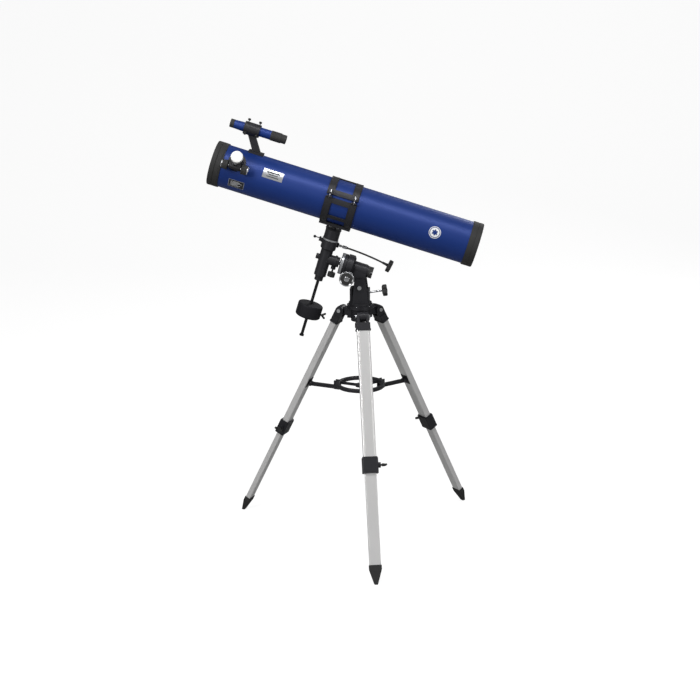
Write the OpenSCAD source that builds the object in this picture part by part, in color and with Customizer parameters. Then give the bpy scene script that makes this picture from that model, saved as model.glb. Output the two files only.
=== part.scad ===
// Reflector telescope on a German equatorial mount and an aluminium tripod.
// Millimetres, Z up. The tripod stands on Z = 0.

/* [Optical tube] */
// Length of the tube assembly with its end rings and cap
tube_len = 900; // [880:1:920]
// Outside diameter of the tube
tube_d = 140; // [138:0.5:141]
// Outside diameter of the end rings and the dust cap
ring_d = 146; // [145:0.5:150]
// Width of the front ring
front_ring_w = 21; // [16:0.5:26]
// Width of the dust cap's band
cap_w = 16; // [12:0.5:20]
// Width of the rear cell
cell_w = 35; // [30:0.5:45]
// Diameter of the primary mirror
mirror_d = 114; // [100:1:120]

/* [Focuser and finder] */
// Distance from the front face of the cap to the focuser's axis
focuser_at = 82; // [76:1:95]
// Angle of the focuser above the level, seen along the tube
focuser_turn = 30; // [20:1:45]
// Diameter of the eyepiece bore
eyepiece_d = 31.8; // [31.75:0.01:32]
// Height of the finder's axis above the tube's axis
finder_h = 141; // [138:0.5:146]
// Length of the finder
finder_len = 188; // [180:1:196]

/* [Equatorial mount] */
// Tilt of the polar axis above the level
tilt = 17; // [15:0.5:22]
// Height of the latitude hinge above the floor
pivot_z = 860; // [858:1:870]
// Height of the polar axis above the latitude hinge, square to the axis
polar_h = 53.5; // [52:0.5:56]
// Distance along the polar axis from the latitude hinge to the declination axis
reach = 138; // [136:0.5:140]
// Distance from the polar axis to the tube's axis
tube_off = 193; // [192.5:0.5:194]
// Diameter of the counterweight
weight_d = 84; // [76:1:86]
// Height of the counterweight
weight_h = 45; // [40:1:48]
// Length of the counterweight bar below the polar axis
bar_reach = 274; // [265:1:280]
// Teeth on the polar worm wheel
ra_teeth = 72; // [60:1:72]
// Teeth on the declination worm wheel
dec_teeth = 60; // [48:1:60]

/* [Tripod] */
// Distance of each leg's hinge from the upright axis
hinge_r = 68; // [66:0.5:70]
// Height of the leg hinges above the floor
hinge_z = 773; // [771:0.5:774]
// Distance of each foot's tip from the upright axis
foot_r = 457; // [450:1:462]
// Turn of the tripod about the upright axis
tripod_turn = 11; // [6:0.5:16]
// Width of the upper leg channel
channel_w = 42; // [41:0.5:43]
// Depth of the upper leg channel
channel_d = 22; // [21.5:0.5:23]
// Length along the leg from the hinge to the end of the upper channel
channel_end = 500; // [490:1:510]
// Outer diameter of the spreader ring
spreader_d = 163; // [160:1:164]

/* [Hidden] */
$fn = 64;
gap = 0.3;
fit = 0.05;
leg_tilt = atan((foot_r - hinge_r) / hinge_z);
leg_len = sqrt(pow(foot_r - hinge_r, 2) + pow(hinge_z, 2));
hub_top = 798;
wall = 1.6;

// Lower leg and lock
inner_w = channel_w - 2 * wall - 2 * gap - 1.4;
inner_d = channel_d - 2 * wall - 2 * gap - 1.4;
inner_top = 300;
foot_len = 60;
lock_h = 50;
lock_w = 51;
lock_d = 33;

// Spreader, with its arms level when the legs stand open
pin_s = 295;
pin_in = 19;
pin_r = hinge_r + pin_s * sin(leg_tilt) - pin_in * cos(leg_tilt);
pin_z = hinge_z - pin_s * cos(leg_tilt) - pin_in * sin(leg_tilt);
ring_pin_r = 88;
ring_h = 13;
ring_z = pin_z + 13;
arm_h = 12;
arm_w = 10.4;

// Tube stations along the head's X, and the tube's axis height in the head's frame
tube_z = polar_h + tube_off;
tube_r = tube_d / 2;
ring_r = ring_d / 2;
front_x = -reach - 437.6;
rear_x = front_x + tube_len;
focuser_x = front_x + focuser_at;
finder_x = front_x + 20;

// Offset of the upright axis from the middle of the whole footprint
toe = 5;
toe_side = 3.3;
stand_x = -(front_x + rear_x) / 2 * cos(tilt) - tube_z * sin(tilt);
stand_y = ((foot_r + toe) * (cos(tripod_turn) - sin(tripod_turn + 30)) - toe_side) / 2;

// Focuser radii, all measured from the tube's axis
drawtube_r = 18;
housing_r = 22.5;
housing_top = 100;
drawtube_in = 58;
drawtube_out = 124;
pinion_at = 92;
pinion_off = 24.5;
pinion_tip = 4.7;

// Cradle
band_w = 23;
band_x = 40.75;
band_r = tube_r + 5;
split_turn = 69;
split_gap = 3.5;
tie_span = 14;
band_t = 5;
knuckle_r = 4.5;
hinge_pin_r = 2;
clamp_screw_r = 2.5;
// distance of the clamp screws outside the tube wall
clamp_out = 11.2;

// Counterweight position along its bar
weight_at = -207;

// Polar bearing: drum over the wheel, long barrel, end collar
drum_r = 38;
barrel_r = 22;
collar_r = 19.5;
// Heel of the latitude hinge, which the screw pushes on
lug_x = 24 * sin(tilt);
lug_z = 24 * cos(tilt);
// Bearing bosses of the polar worm
worm_boss_r = 9;
// Through bolt of the latitude hinge
hinge_bolt_r = 4;
cradle_hinge_r = 82;

// Worm drives
ra_worm_x = -47.5;
ra_worm_drop = 26.5;
worm_r = 4.4;
ra_wheel_tip = ra_worm_drop - worm_r - 0.5;
dec_worm_y = 20;
dec_worm_at = 50;
dec_wheel_tip = dec_worm_y - worm_r - 0.5;
cable_bend = 10;
cable_run = 148;
cable_rad = cable_run / (cable_bend * PI / 180);

// Positions of the finder's aiming screws along the tube
FINDER_SCREWS = [-499, -462];

// Latitude screw
screw_tilt = 9;
screw_x = 28;
screw_z = -21.4;

LEGS = ["a", "b", "c"];
LEG_TURNS = [tripod_turn - 90, tripod_turn + 30, tripod_turn + 150];

// ---------- frames ----------

// The tripod's frame: the upright axis through the hub
module at_stand() translate([stand_x, stand_y, 0]) children();

// A leg's upright plane: X runs outward from the axis
module at_leg_plane(i) at_stand() rotate([0, 0, LEG_TURNS[i]]) children();

// Along a leg: Z runs down the leg from its hinge, X to its inner side
module at_leg(i) at_leg_plane(i) translate([hinge_r, 0, hinge_z]) rotate([0, 180 - leg_tilt, 0]) children();

// The head: origin on the latitude hinge, X down the polar axis, Z up the declination axis
module at_head() at_stand() translate([0, 0, pivot_z]) rotate([0, tilt, 0]) children();

// The crossing of the polar and declination axes
module at_cross() at_head() translate([-reach, 0, polar_h]) children();

// Z along the head's X from the station x, at height z
module along_x(x, z = 0, y = 0) translate([x, y, z]) rotate([0, 90, 0]) children();

// Z along the head's Y from the station y
module along_y(x, y, z) translate([x, y, z]) rotate([-90, 0, 0]) children();

// The tube's axis
module at_tube(x = 0) at_head() along_x(x, tube_z) children();

// The focuser: Z runs outward from the tube's axis, X along the tube
module at_focuser() at_head() translate([focuser_x, 0, tube_z])
  rotate([90 - focuser_turn, 0, 0]) children();

// The finder's axis
module at_finder(x = 0) at_head() along_x(x, tube_z + finder_h) children();

// ---------- shared shapes ----------

// Rectangle with round corners
module round_rect(w, d, r) {
  square([w - 2 * r, d], center = true);
  square([w, d - 2 * r], center = true);
  for (x = [-1, 1], y = [-1, 1]) translate([x * (w / 2 - r), y * (d / 2 - r)]) circle(r, $fn = 32);
}

// Tube with a wall
module pipe(r_out, r_in, h) difference() {
  cylinder(r = r_out, h = h);
  translate([0, 0, -1]) cylinder(r = r_in, h = h + 2);
}

// Toothed disc with straight flanks
module toothed_disc(tip, teeth, depth, h) {
  step = 360 / teeth;
  points = [for (i = [0 : teeth - 1], k = [[-0.32, 1], [-0.14, 0], [0.14, 0], [0.32, 1]])
    let (a = (i + k[0]) * step, r = tip - k[1] * depth) [r * cos(a), r * sin(a)]];
  linear_extrude(h) polygon(points);
}

// Round grip with finger scallops, on Z
module scalloped_grip(r, h, lobes, lobe_r) difference() {
  cylinder(r = r, h = h);
  for (i = [0 : lobes - 1]) rotate(360 / lobes * (i + 0.5))
    translate([r + lobe_r * 0.62, 0, -1]) cylinder(r = lobe_r, h = h + 2, $fn = 32);
}

// Star knob of round lobes about a boss, on Z
module star_knob(r, h, lobes, lobe_r) {
  cylinder(r = r - lobe_r * 1.15, h = h);
  for (i = [0 : lobes - 1]) rotate(360 / lobes * i)
    translate([r - lobe_r, 0, 0]) cylinder(r = lobe_r, h = h, $fn = 32);
}

// Wing grip across X, rising on Z from its boss
module wing_grip(w, h, t) {
  cylinder(r = t, h = h * 0.55);
  rotate([90, 0, 0]) linear_extrude(t, center = true) polygon([
    [-w * 0.18, 0], [w * 0.18, 0], [w * 0.5, h * 0.72], [w * 0.4, h], [w * 0.22, h * 0.9],
    [w * 0.1, h * 0.5], [-w * 0.1, h * 0.5], [-w * 0.22, h * 0.9], [-w * 0.4, h], [-w * 0.5, h * 0.72]
  ]);
}

// ---------- tripod ----------

module hub() color("#26272a") at_stand() difference() {
  union() {
    translate([0, 0, hub_top - 12]) cylinder(r = 44, h = 12);
    translate([0, 0, 744]) cylinder(r = 31, h = hub_top - 750);
    for (turn = LEG_TURNS) rotate(turn) {
      along_y(hinge_r, -11, hinge_z) cylinder(r = 15, h = 22);
      translate([20, -11, hinge_z - 15]) cube([hinge_r - 20, 22, 26]);
      translate([20, -4, 748]) cube([26, 8, 20]);
    }
  }
  translate([0, 0, 700]) cylinder(r = 5 + fit, h = 120);
  translate([0, 0, 743]) cylinder(r = 22, h = 18);
  for (turn = LEG_TURNS) rotate(turn) along_y(hinge_r, -20, hinge_z) cylinder(r = 4 + fit, h = 40);
}

module hub_bolts() color("#c9ccd0") for (i = [0 : 2]) at_leg_plane(i) {
  along_y(hinge_r, -24, hinge_z) cylinder(r = 4, h = 48);
  along_y(hinge_r, -24.5, hinge_z) cylinder(r = 6.5, h = 4);
  along_y(hinge_r, 20.5, hinge_z) cylinder(r = 7, h = 5, $fn = 6);
}

// Aluminium channel of an upper leg, with a shallow groove along each long face
module leg_upper(i) color("#c8cbd0") at_leg(i) translate([0, 0, 30.5]) linear_extrude(channel_end - 30.5)
  difference() {
    round_rect(channel_d, channel_w, 3);
    round_rect(channel_d - 2 * wall, channel_w - 2 * wall, 1.6);
    for (s = [-1, 1], y = [-1, 1]) translate([s * channel_d / 2, y * channel_w * 0.36])
      circle(0.8, $fn = 16);
  }

// Die-cast head of a leg: two cheeks on the hinge and a socket over the channel
module leg_head() difference() {
  union() {
    for (s = [-1, 1]) translate([0, s * 15.4, 0]) {
      along_y(0, -4, 0) cylinder(r = 14, h = 8);
      translate([-14, -4, 0]) cube([28, 8, 24]);
    }
    translate([0, 0, 22]) linear_extrude(24) round_rect(channel_d + 5, channel_w + 4.6, 3);
    translate([0, 0, 43]) linear_extrude(3.5) round_rect(channel_d + 8, channel_w + 8, 4);
  }
  translate([0, 0, 30.4]) linear_extrude(20) round_rect(channel_d, channel_w, 3);
  along_y(0, -30, 0) cylinder(r = 4 + fit, h = 60);
}

// Clevis on a leg's inner face for the spreader arm, with its rivet
module arm_clevis() {
  difference() {
    union() {
      translate([channel_d / 2, -17, pin_s - 17]) cube([1.5, 34, 34]);
      for (s = [-1, 1]) translate([0, s * 7.8, 0]) {
        along_y(pin_in, -2, pin_s) cylinder(r = 6.5, h = 4);
        translate([channel_d / 2, -2, pin_s - 6.5]) cube([pin_in - channel_d / 2, 4, 13]);
      }
    }
    along_y(pin_in, -12, pin_s) cylinder(r = 2.5, h = 24);
  }
  along_y(pin_in, -11.5, pin_s) cylinder(r = 2.5, h = 23);
  for (y = [-12.8, 9.8]) along_y(pin_in, y, pin_s) cylinder(r = 4.2, h = 3);
}

// Lock collar at the foot of the upper channel
module lock_collar() difference() {
  union() {
    translate([0, 0, channel_end - 36]) linear_extrude(lock_h) round_rect(lock_d, lock_w, 4);
    translate([0, 0, channel_end - 39]) linear_extrude(8) round_rect(lock_d - 4, lock_w - 3, 4);
    along_y(0, 20, channel_end - 12) cylinder(r = 9, h = 14);
  }
  translate([0, 0, channel_end - 40]) linear_extrude(40) round_rect(channel_d, channel_w, 3);
  translate([0, 0, channel_end - 5]) linear_extrude(30) round_rect(inner_d + 1, inner_w + 1, 2);
  along_y(0, 15, channel_end - 12) cylinder(r = 3 + fit, h = 30);
}

module leg_fittings(i) color("#1e1f21") at_leg(i) {
  leg_head();
  arm_clevis();
  difference() {
    lock_collar();
    along_y(0, channel_w / 2 - 4, channel_end - 12) cylinder(r = 3 + fit, h = 30);
  }
}

module leg_lower(i) color("#c3c6cb") at_leg(i) translate([0, 0, inner_top])
  linear_extrude(leg_len - foot_len - inner_top + 8) difference() {
    round_rect(inner_d, inner_w, 1.6);
    round_rect(inner_d - 2 * wall, inner_w - 2 * wall, 0.8);
  }

// Pointed boot, cut level where it meets the floor
module leg_foot(i) color("#161617") difference() {
  at_leg(i) difference() {
    intersection() {
      rotate([90, 0, 0]) linear_extrude(60, center = true) polygon([
        [-inner_d / 2 - 1.6, leg_len - foot_len], [inner_d / 2 + 1.6, leg_len - foot_len],
        [inner_d / 2 + 1.6, leg_len - foot_len + 16], [4, leg_len + 6], [-4, leg_len + 6],
        [-inner_d / 2 - 1.6, leg_len - foot_len + 16]
      ]);
      rotate([90, 0, 90]) linear_extrude(60, center = true) polygon([
        [-inner_w / 2 - 1.6, leg_len - foot_len], [inner_w / 2 + 1.6, leg_len - foot_len],
        [inner_w / 2 + 1.6, leg_len - foot_len + 14], [4, leg_len + 6], [-4, leg_len + 6],
        [-inner_w / 2 - 1.6, leg_len - foot_len + 14]
      ]);
    }
    translate([0, 0, leg_len - foot_len - 1]) linear_extrude(9.05) round_rect(inner_d, inner_w, 1.6);
  }
  at_stand() translate([-600, -600, -50]) cube([1200, 1200, 50]);
}

module leg_knob(i) color("#161617") at_leg(i) {
  along_y(0, inner_w / 2 + gap, channel_end - 12) cylinder(r = 3, h = 24);
  along_y(0, 38, channel_end - 12) wing_grip(30, 16, 5);
}

// The upper channel is drilled for its lock screw
module drilled_leg_upper(i) difference() {
  leg_upper(i);
  at_leg(i) along_y(0, channel_w / 2 - 6, channel_end - 12) cylinder(r = 3 + fit, h = 12);
}

module spreader_arm(i) color("#1e1f21") at_leg_plane(i) difference() {
  union() {
    along_y(pin_r, -arm_w / 2, pin_z) cylinder(r = arm_h / 2, h = arm_w);
    along_y(ring_pin_r, -arm_w / 2, pin_z) cylinder(r = arm_h / 2, h = arm_w);
    translate([ring_pin_r, -arm_w / 2, pin_z - arm_h / 2]) cube([pin_r - ring_pin_r, arm_w, arm_h]);
  }
  along_y(pin_r, -10, pin_z) cylinder(r = 2.5 + fit, h = 20);
  for (s = [-1, 1]) translate([ring_pin_r + 12, s * (arm_w / 2) - 1, pin_z - 2.5])
    cube([pin_r - ring_pin_r - 26, 2, 5]);
}

module spreader_ring() color("#1e1f21") at_stand() {
  translate([0, 0, ring_z]) {
    rotate_extrude() translate([spreader_d / 2 - 6, ring_h / 2]) round_rect(12, ring_h, 3);
    cylinder(r = 17, h = 8);
    for (turn = LEG_TURNS) rotate(turn) {
      translate([14, -5, 0]) cube([spreader_d / 2 - 22, 10, 5]);
      translate([14, -1.5, 0]) cube([spreader_d / 2 - 22, 3, 8.5]);
    }
  }
  for (turn = LEG_TURNS) rotate(turn) for (s = [-1, 1]) {
    translate([spreader_d / 2 - 6, s * 7.8 - 2, pin_z - 6])
      cube([ring_pin_r + 12.5 - spreader_d / 2, 4, ring_h + 17]);
    along_y(ring_pin_r, s * 10.3 - 1, pin_z) cylinder(r = 4, h = 2);
  }
}

// ---------- azimuth and latitude ----------

module yoke() color("#3a3b3e") at_stand() difference() {
  union() {
    translate([0, 0, hub_top + gap]) cylinder(r = 38, h = 8);
    for (s = [-1, 1]) translate([0, s * 26.5, 0]) rotate([90, 0, 0]) linear_extrude(7, center = true) {
      polygon([[-25, hub_top + gap], [31, hub_top + gap], [20, 878], [10, 888], [-8, 888], [-18, 878]]);
      translate([10, 878]) circle(10);
      translate([-8, 878]) circle(10);
    }
    translate([23, -26, hub_top + gap]) cube([7.5, 52, 52]);
    // angled leading edge that ties the cheeks together
    translate([0, 0, hub_top + gap]) linear_extrude(56) polygon([
      [-24, -30], [-33, -20], [-33, 20], [-24, 30], [-24, 23], [-26.5, 18], [-26.5, -18], [-24, -23]
    ]);
  }
  translate([0, 0, 780]) cylinder(r = 5 + fit, h = 40);
  along_y(0, -40, pivot_z) cylinder(r = 4 + fit, h = 80);
  translate([screw_x, 0, pivot_z + screw_z]) rotate([0, 90 - screw_tilt, 0])
    translate([0, 0, -12]) cylinder(r = 3.5 + fit, h = 30);
}

module azimuth_knob() color("#161617") at_stand() {
  translate([0, 0, 724]) cylinder(r = 5, h = hub_top + 7.5 - 724);
  translate([0, 0, 718]) star_knob(20, 18, 5, 6.4);
}

module latitude_bolt() color("#d0d2d6") at_stand() {
  along_y(0, -33, pivot_z) cylinder(r = hinge_bolt_r, h = 67);
  along_y(0, -34, pivot_z) cylinder(r = 7, h = 3.8);
  along_y(0, 30.2, pivot_z) cylinder(r = 8, h = 5.5, $fn = 6);
}

module latitude_screw() color("#c9ccd0") at_stand()
  translate([screw_x, 0, pivot_z + screw_z]) rotate([0, 90 - screw_tilt, 0]) {
    translate([0, 0, -17.1]) cylinder(r = 3.5, h = 65.5);
    translate([0, 0, 46]) star_knob(20, 15, 5, 6.4);
  }

// Polar housing: drum over the worm wheel, long bearing, and the lug on the latitude hinge
module polar_housing() color("#2b2c2f") at_head() difference() {
  union() {
    along_x(-62.5, polar_h) cylinder(r = drum_r, h = 20);
    along_x(-42.6, polar_h) cylinder(r1 = drum_r, r2 = 30, h = 5);
    along_x(-40, polar_h) cylinder(r = barrel_r, h = 46);
    along_x(6, polar_h) cylinder(r = collar_r, h = 6);
    along_y(0, -22, 0) cylinder(r = 13, h = 44);
    along_y(lug_x, -12, -lug_z) cylinder(r = 10, h = 24);
    rotate([90, 0, 0]) linear_extrude(44, center = true)
      polygon([[-13, 0], [13, 0], [8, 40], [8, 50], [-38, 50], [-38, 30]]);
    rotate([90, 0, 0]) linear_extrude(24, center = true)
      polygon([[-9, 2], [12, 0], [lug_x + 9.5, -lug_z], [lug_x - 9.5, -lug_z]]);
    // worm bearing towards the hand knob
    along_y(ra_worm_x, -54, polar_h - ra_worm_drop) cylinder(r = worm_boss_r, h = 42);
    along_y(ra_worm_x, 12, polar_h - ra_worm_drop) cylinder(r = worm_boss_r, h = 20);
  }
  along_x(-70, polar_h) cylinder(r = 8 + fit, h = 100);
  along_x(-63, polar_h) cylinder(r = 30, h = 21.5);
  along_y(ra_worm_x, -60, polar_h - ra_worm_drop) cylinder(r = 3.5 + fit, h = 88);
  along_y(ra_worm_x, -20, polar_h - ra_worm_drop) cylinder(r = 5.5, h = 40);
  along_y(0, -40, 0) cylinder(r = hinge_bolt_r + fit, h = 80);
}

module polar_cap() color("#161617") at_head() difference() {
  along_x(12.3, polar_h) cylinder(r = 19, h = 14);
  along_x(11, polar_h) cylinder(r = 12, h = 17);
  translate([16, -30, polar_h - 5]) cube([20, 60, 10]);
}

module ra_shaft() color("#9a9ca0") at_head() along_x(-reach + 12, polar_h) {
  cylinder(r = 8, h = reach - 12 + 22);
  translate([0, 0, reach + 1.4]) cylinder(r = 11, h = 6, $fn = 6);
}

// Worm wheel with the graduated drum on its hub
module ra_wheel() color("#b4b6ba") at_head() difference() {
  union() {
    along_x(-84.5, polar_h) cylinder(r = 35, h = 21);
    along_x(-64, polar_h) cylinder(r = 14, h = 12);
    along_x(-52.5, polar_h) toothed_disc(ra_wheel_tip, ra_teeth, 0.8, 10);
  }
  along_x(-90, polar_h) cylinder(r = 8 + fit, h = 60);
  along_x(-86, polar_h) cylinder(r = 26, h = 13);
}

module ra_worm() color("#9a9ca0") at_head() {
  along_y(ra_worm_x, -66, polar_h - ra_worm_drop) cylinder(r = 3.5, h = 92);
  for (k = [-5 : 5]) along_y(ra_worm_x, k * 2 - 0.7, polar_h - ra_worm_drop) cylinder(r = worm_r, h = 1.4);
}

module ra_knob() color("#c9ccd0") at_head() along_y(ra_worm_x, -79, polar_h - ra_worm_drop) difference() {
  union() {
    pipe(24.5, 20.5, 11);
    cylinder(r = 9, h = 14);
    for (i = [0 : 4]) rotate(72 * i) translate([14, 0, 1]) cylinder(r = 7.6, h = 8);
    translate([0, 0, 14]) cylinder(r = 6, h = 5);
  }
  translate([0, 0, 13]) cylinder(r = 3.5, h = 20);
}

module ra_lock() color("#161617") at_head() translate([-102.5, 0, 0]) {
  scalloped_grip(12.5, 15, 8, 3.2);
  translate([0, 0, 14]) cylinder(r = 3, h = 24);
}

// ---------- declination ----------

module dec_housing() color("#303134") at_cross() difference() {
  union() {
    translate([0, 0, -60]) cylinder(r = 20, h = 92);
    translate([0, 0, 30]) cylinder(r1 = 20, r2 = 25.5, h = 5);
    translate([0, 0, 35]) cylinder(r = 25.5, h = 28);
    translate([0, 0, -77]) cylinder(r = 14, h = 18);
    along_x(5) cylinder(r = 17, h = 44.5);
    along_x(33) cylinder(r = 20, h = 7);
    along_x(-20, dec_worm_at, dec_worm_y) cylinder(r = 8.5, h = 51);
    along_x(-30) cylinder(r = 9, h = 20);
    translate([35.5, 0, -27]) cylinder(r = 8, h = 20);
    along_x(-30, 56) cylinder(r = 7, h = 12);
  }
  translate([0, 0, -80]) cylinder(r = 5 + fit, h = 32);
  translate([0, 0, -46]) cylinder(r = 8 + fit, h = 130);
  translate([0, 0, 42]) cylinder(r = 20.5, h = 22);
  along_x(12) cylinder(r = 8 + fit, h = 60);
  along_x(-17, dec_worm_at, dec_worm_y) cylinder(r = 5.5, h = 40);
  along_x(-10, dec_worm_at, dec_worm_y) cylinder(r = 3 + fit, h = 60);
  translate([35.5, 0, -40]) cylinder(r = 3 + fit, h = 28);
  along_x(-34, 56) cylinder(r = 2.5 + fit, h = 12);
}

module dec_shaft() color("#9a9ca0") at_cross() translate([0, 0, -45]) cylinder(r = 8, h = 145);

module dec_wheel() color("#b4b6ba") at_cross() difference() {
  union() {
    translate([0, 0, 63.5]) cylinder(r = 26.5, h = 5);
    translate([0, 0, 45]) toothed_disc(dec_wheel_tip, dec_teeth, 0.6, 10);
    translate([0, 0, 54]) cylinder(r = 12, h = 10);
  }
  translate([0, 0, 40]) cylinder(r = 8 + fit, h = 40);
}

module dec_worm() color("#c9ccd0") at_cross() {
  along_x(-14, dec_worm_at, dec_worm_y) cylinder(r = 3, h = 62);
  along_x(31.5, dec_worm_at, dec_worm_y) cylinder(r = 4.2, h = 9);
  for (k = [-5 : 5]) along_x(k * 1.6 - 0.55, dec_worm_at, dec_worm_y) cylinder(r = worm_r, h = 1.1);
}

// Flexible drive: ferrule, then the sleeved shaft bending gently down to the knob
module at_cable() at_cross() translate([50, dec_worm_y, dec_worm_at]) children();
module at_cable_end() at_cable()
  translate([0, 0, -cable_rad]) rotate([0, cable_bend, 0]) translate([0, 0, cable_rad])
  rotate([0, 90, 0]) children();
module dec_cable() color("#222326") at_cable() {
  difference() {
    along_x(-6, 0) cylinder(r = 5.2, h = 20);
    along_x(-7, 0) cylinder(r = 3.3, h = 5.5);
  }
  translate([0, 0, -cable_rad]) rotate([-90, 0, 0])
    rotate([0, 0, -90]) rotate_extrude(angle = cable_bend, $fn = 720)
      translate([cable_rad, 0]) circle(3.2, $fn = 32);
}

module dec_knob() color("#161617") at_cable_end() {
  translate([0, 0, gap]) cylinder(r = 5, h = 8);
  translate([0, 0, 6]) star_knob(21.5, 14, 5, 6.8);
}

module dec_lock() color("#c9ccd0") at_cross() rotate([0, -90, 0]) translate([56, 0, 0]) {
  translate([0, 0, 23.5]) cylinder(r = 2.5, h = 8);
  translate([-5, -4, 30.4]) cube([14, 8, 6]);
  translate([4, 0, 36]) cylinder(r = 1.6, h = 16);
  translate([4, 0, 52]) sphere(4.8);
}

// Turning head that carries the cradle on three posts
module saddle() color("#303134") at_cross() difference() {
  union() {
    translate([0, 0, 68.9]) cylinder(r = 25, h = 30);
    translate([0, 0, 98.8]) cylinder(r1 = 25, r2 = 27, h = 4);
    translate([0, 0, 100]) cylinder(r = 7, h = 12);
    for (s = [-1, 1]) translate([s * 21 - 4, -15, 102]) cube([8, 30, 10]);
  }
  translate([0, 0, 60]) cylinder(r = 8, h = 40);
}

module counterweight_bar() color("#8f9195") at_cross() {
  translate([0, 0, -bar_reach]) cylinder(r = 5, h = bar_reach - 50);
  translate([0, 0, -bar_reach - 3]) cylinder(r = 7.5, h = 6);
}

module counterweight() color("#242426") at_cross() translate([0, 0, weight_at]) difference() {
  rotate_extrude() polygon([
    [0, 0], [weight_d / 2 - 4, 0], [weight_d / 2, 4], [weight_d / 2, weight_h - 3],
    [weight_d / 2 - 3, weight_h], [0, weight_h]
  ]);
  translate([0, 0, -1]) cylinder(r = 5 + fit, h = weight_h + 2);
  along_x(0, 18) cylinder(r = 3 + fit, h = 60);
}

module counterweight_screw() color("#161617") at_cross() translate([0, 0, weight_at]) along_x(5.4, 18) {
  cylinder(r = 3, h = 42);
  translate([0, 0, 39]) wing_grip(22, 14, 4.5);
}

// ---------- cradle ----------

// Half of the cradle's two bands, from one angle to another; zero is straight down
module half_bands(from, to) for (x = [-band_x, band_x]) at_tube(x - reach)
  translate([0, 0, -band_w / 2]) rotate(from) rotate_extrude(angle = to - from, $fn = 128)
    translate([tube_r + gap, 0]) square([band_t - gap, band_w]);

// Wide tie between the two bands, from one angle to another
module band_tie(from, to) at_tube(-reach) translate([0, 0, -band_x]) rotate(from)
  rotate_extrude(angle = to - from, $fn = 128) translate([tube_r + 0.6, 0]) square([4.1, 2 * band_x]);

// Clamp ear beside the split
module clamp_ear(turn, side) for (x = [-band_x, band_x]) at_tube(x - reach) rotate(turn)
  translate([tube_r + 2, side > 0 ? 2.5 : -8.5, -8]) cube([17, 6, 16]);

module cradle_lower() color("#1a1b1c") {
  difference() {
    union() {
      half_bands(split_turn - 180 + split_gap, split_turn - split_gap);
      band_tie(split_turn - 180 + split_gap, split_turn - 180 + split_gap + tie_span);
      band_tie(split_turn - 128, split_turn - 118);
      at_cross() translate([-band_x - band_w / 2, -19, 112.2]) cube([2 * band_x + band_w, 38, 10]);
      clamp_ear(split_turn - 180, 1);
    }
    at_tube(-reach - 80) cylinder(r = tube_r + gap, h = 160, $fn = 128);
    for (x = [-band_x, band_x]) at_tube(x - reach) rotate(split_turn - 180)
      translate([tube_r + 8, 0, -3.2]) cube([20, 10, 6.4]);
  }
  // hinge knuckles and their pin
  for (x = [-band_x, band_x]) at_tube(x - reach) rotate(split_turn) {
    difference() {
      union() {
        translate([cradle_hinge_r, 0, -5]) cylinder(r = knuckle_r, h = 10);
        rotate(-5.2) translate([tube_r + 2, -1, -5]) cube([8, 5, 10]);
      }
      translate([cradle_hinge_r, 0, -8]) cylinder(r = hinge_pin_r, h = 16);
    }
    translate([cradle_hinge_r, 0, -12]) cylinder(r = hinge_pin_r, h = 24);
  }
}

module cradle_upper() color("#1a1b1c") {
  half_bands(split_turn + split_gap, split_turn + 180 - split_gap);
  band_tie(split_turn + 180 - split_gap - tie_span, split_turn + 180 - split_gap);
  band_tie(split_turn + 90, split_turn + 102);
  difference() {
    clamp_ear(split_turn + 180, -1);
    for (x = [-band_x, band_x]) at_tube(x - reach) rotate(split_turn + 180)
      translate([tube_r + clamp_out, 2, 0]) rotate([90, 0, 0]) cylinder(r = clamp_screw_r, h = 20);
  }
  for (x = [-band_x, band_x], s = [-1, 1]) at_tube(x - reach) rotate(split_turn) difference() {
    union() {
      translate([cradle_hinge_r, 0, s * 8.4 - 3]) cylinder(r = knuckle_r, h = 6);
      rotate(5.2) translate([tube_r + 2, -4, s * 8.4 - 3]) cube([8, 5, 6]);
    }
    translate([cradle_hinge_r, 0, s * 8.4 - 6]) cylinder(r = hinge_pin_r + fit, h = 12);
  }
}

// Clamp screws: they lift away with the upper half
module cradle_screws() color("#d0d2d6") for (x = [-band_x, band_x])
  at_tube(x - reach) rotate(split_turn + 180) translate([tube_r + clamp_out, 0, 0]) rotate([-90, 0, 0]) {
    translate([0, 0, -18.7]) cylinder(r = clamp_screw_r, h = 28);
    translate([0, 0, -16.7]) cylinder(r = 5, h = 8);
  }

// ---------- optical tube ----------

module tube() color("#12307e") difference() {
  at_tube(front_x + cap_w + 3) pipe(tube_r, tube_r - 1.2, tube_len - cap_w - cell_w + 10);
  at_focuser() cylinder(r = 20, h = 120);
}

module front_ring() color("#1a1b1c") at_tube(front_x + cap_w + 0.4) difference() {
  union() {
    cylinder(r = ring_r, h = front_ring_w - 2, $fn = 128);
    translate([0, 0, front_ring_w - 2.1]) cylinder(r = ring_r - 1.4, h = 1.7, $fn = 128);
  }
  translate([0, 0, 2.6]) cylinder(r = tube_r, h = 40, $fn = 128);
  translate([0, 0, -1]) cylinder(r = tube_r - 3.5, h = 10, $fn = 128);
}

module dust_cap() color("#161617") at_tube(front_x) difference() {
  union() {
    cylinder(r = ring_r, h = cap_w, $fn = 128);
    cylinder(r = tube_r - 3.9, h = cap_w + 10, $fn = 128);
    // small plug over the lesser aperture
    translate([32, 0, 0.01]) cylinder(r = 19, h = 6);
  }
  translate([0, 0, 2.6]) cylinder(r = tube_r - 6.4, h = 60, $fn = 128);
}

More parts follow.
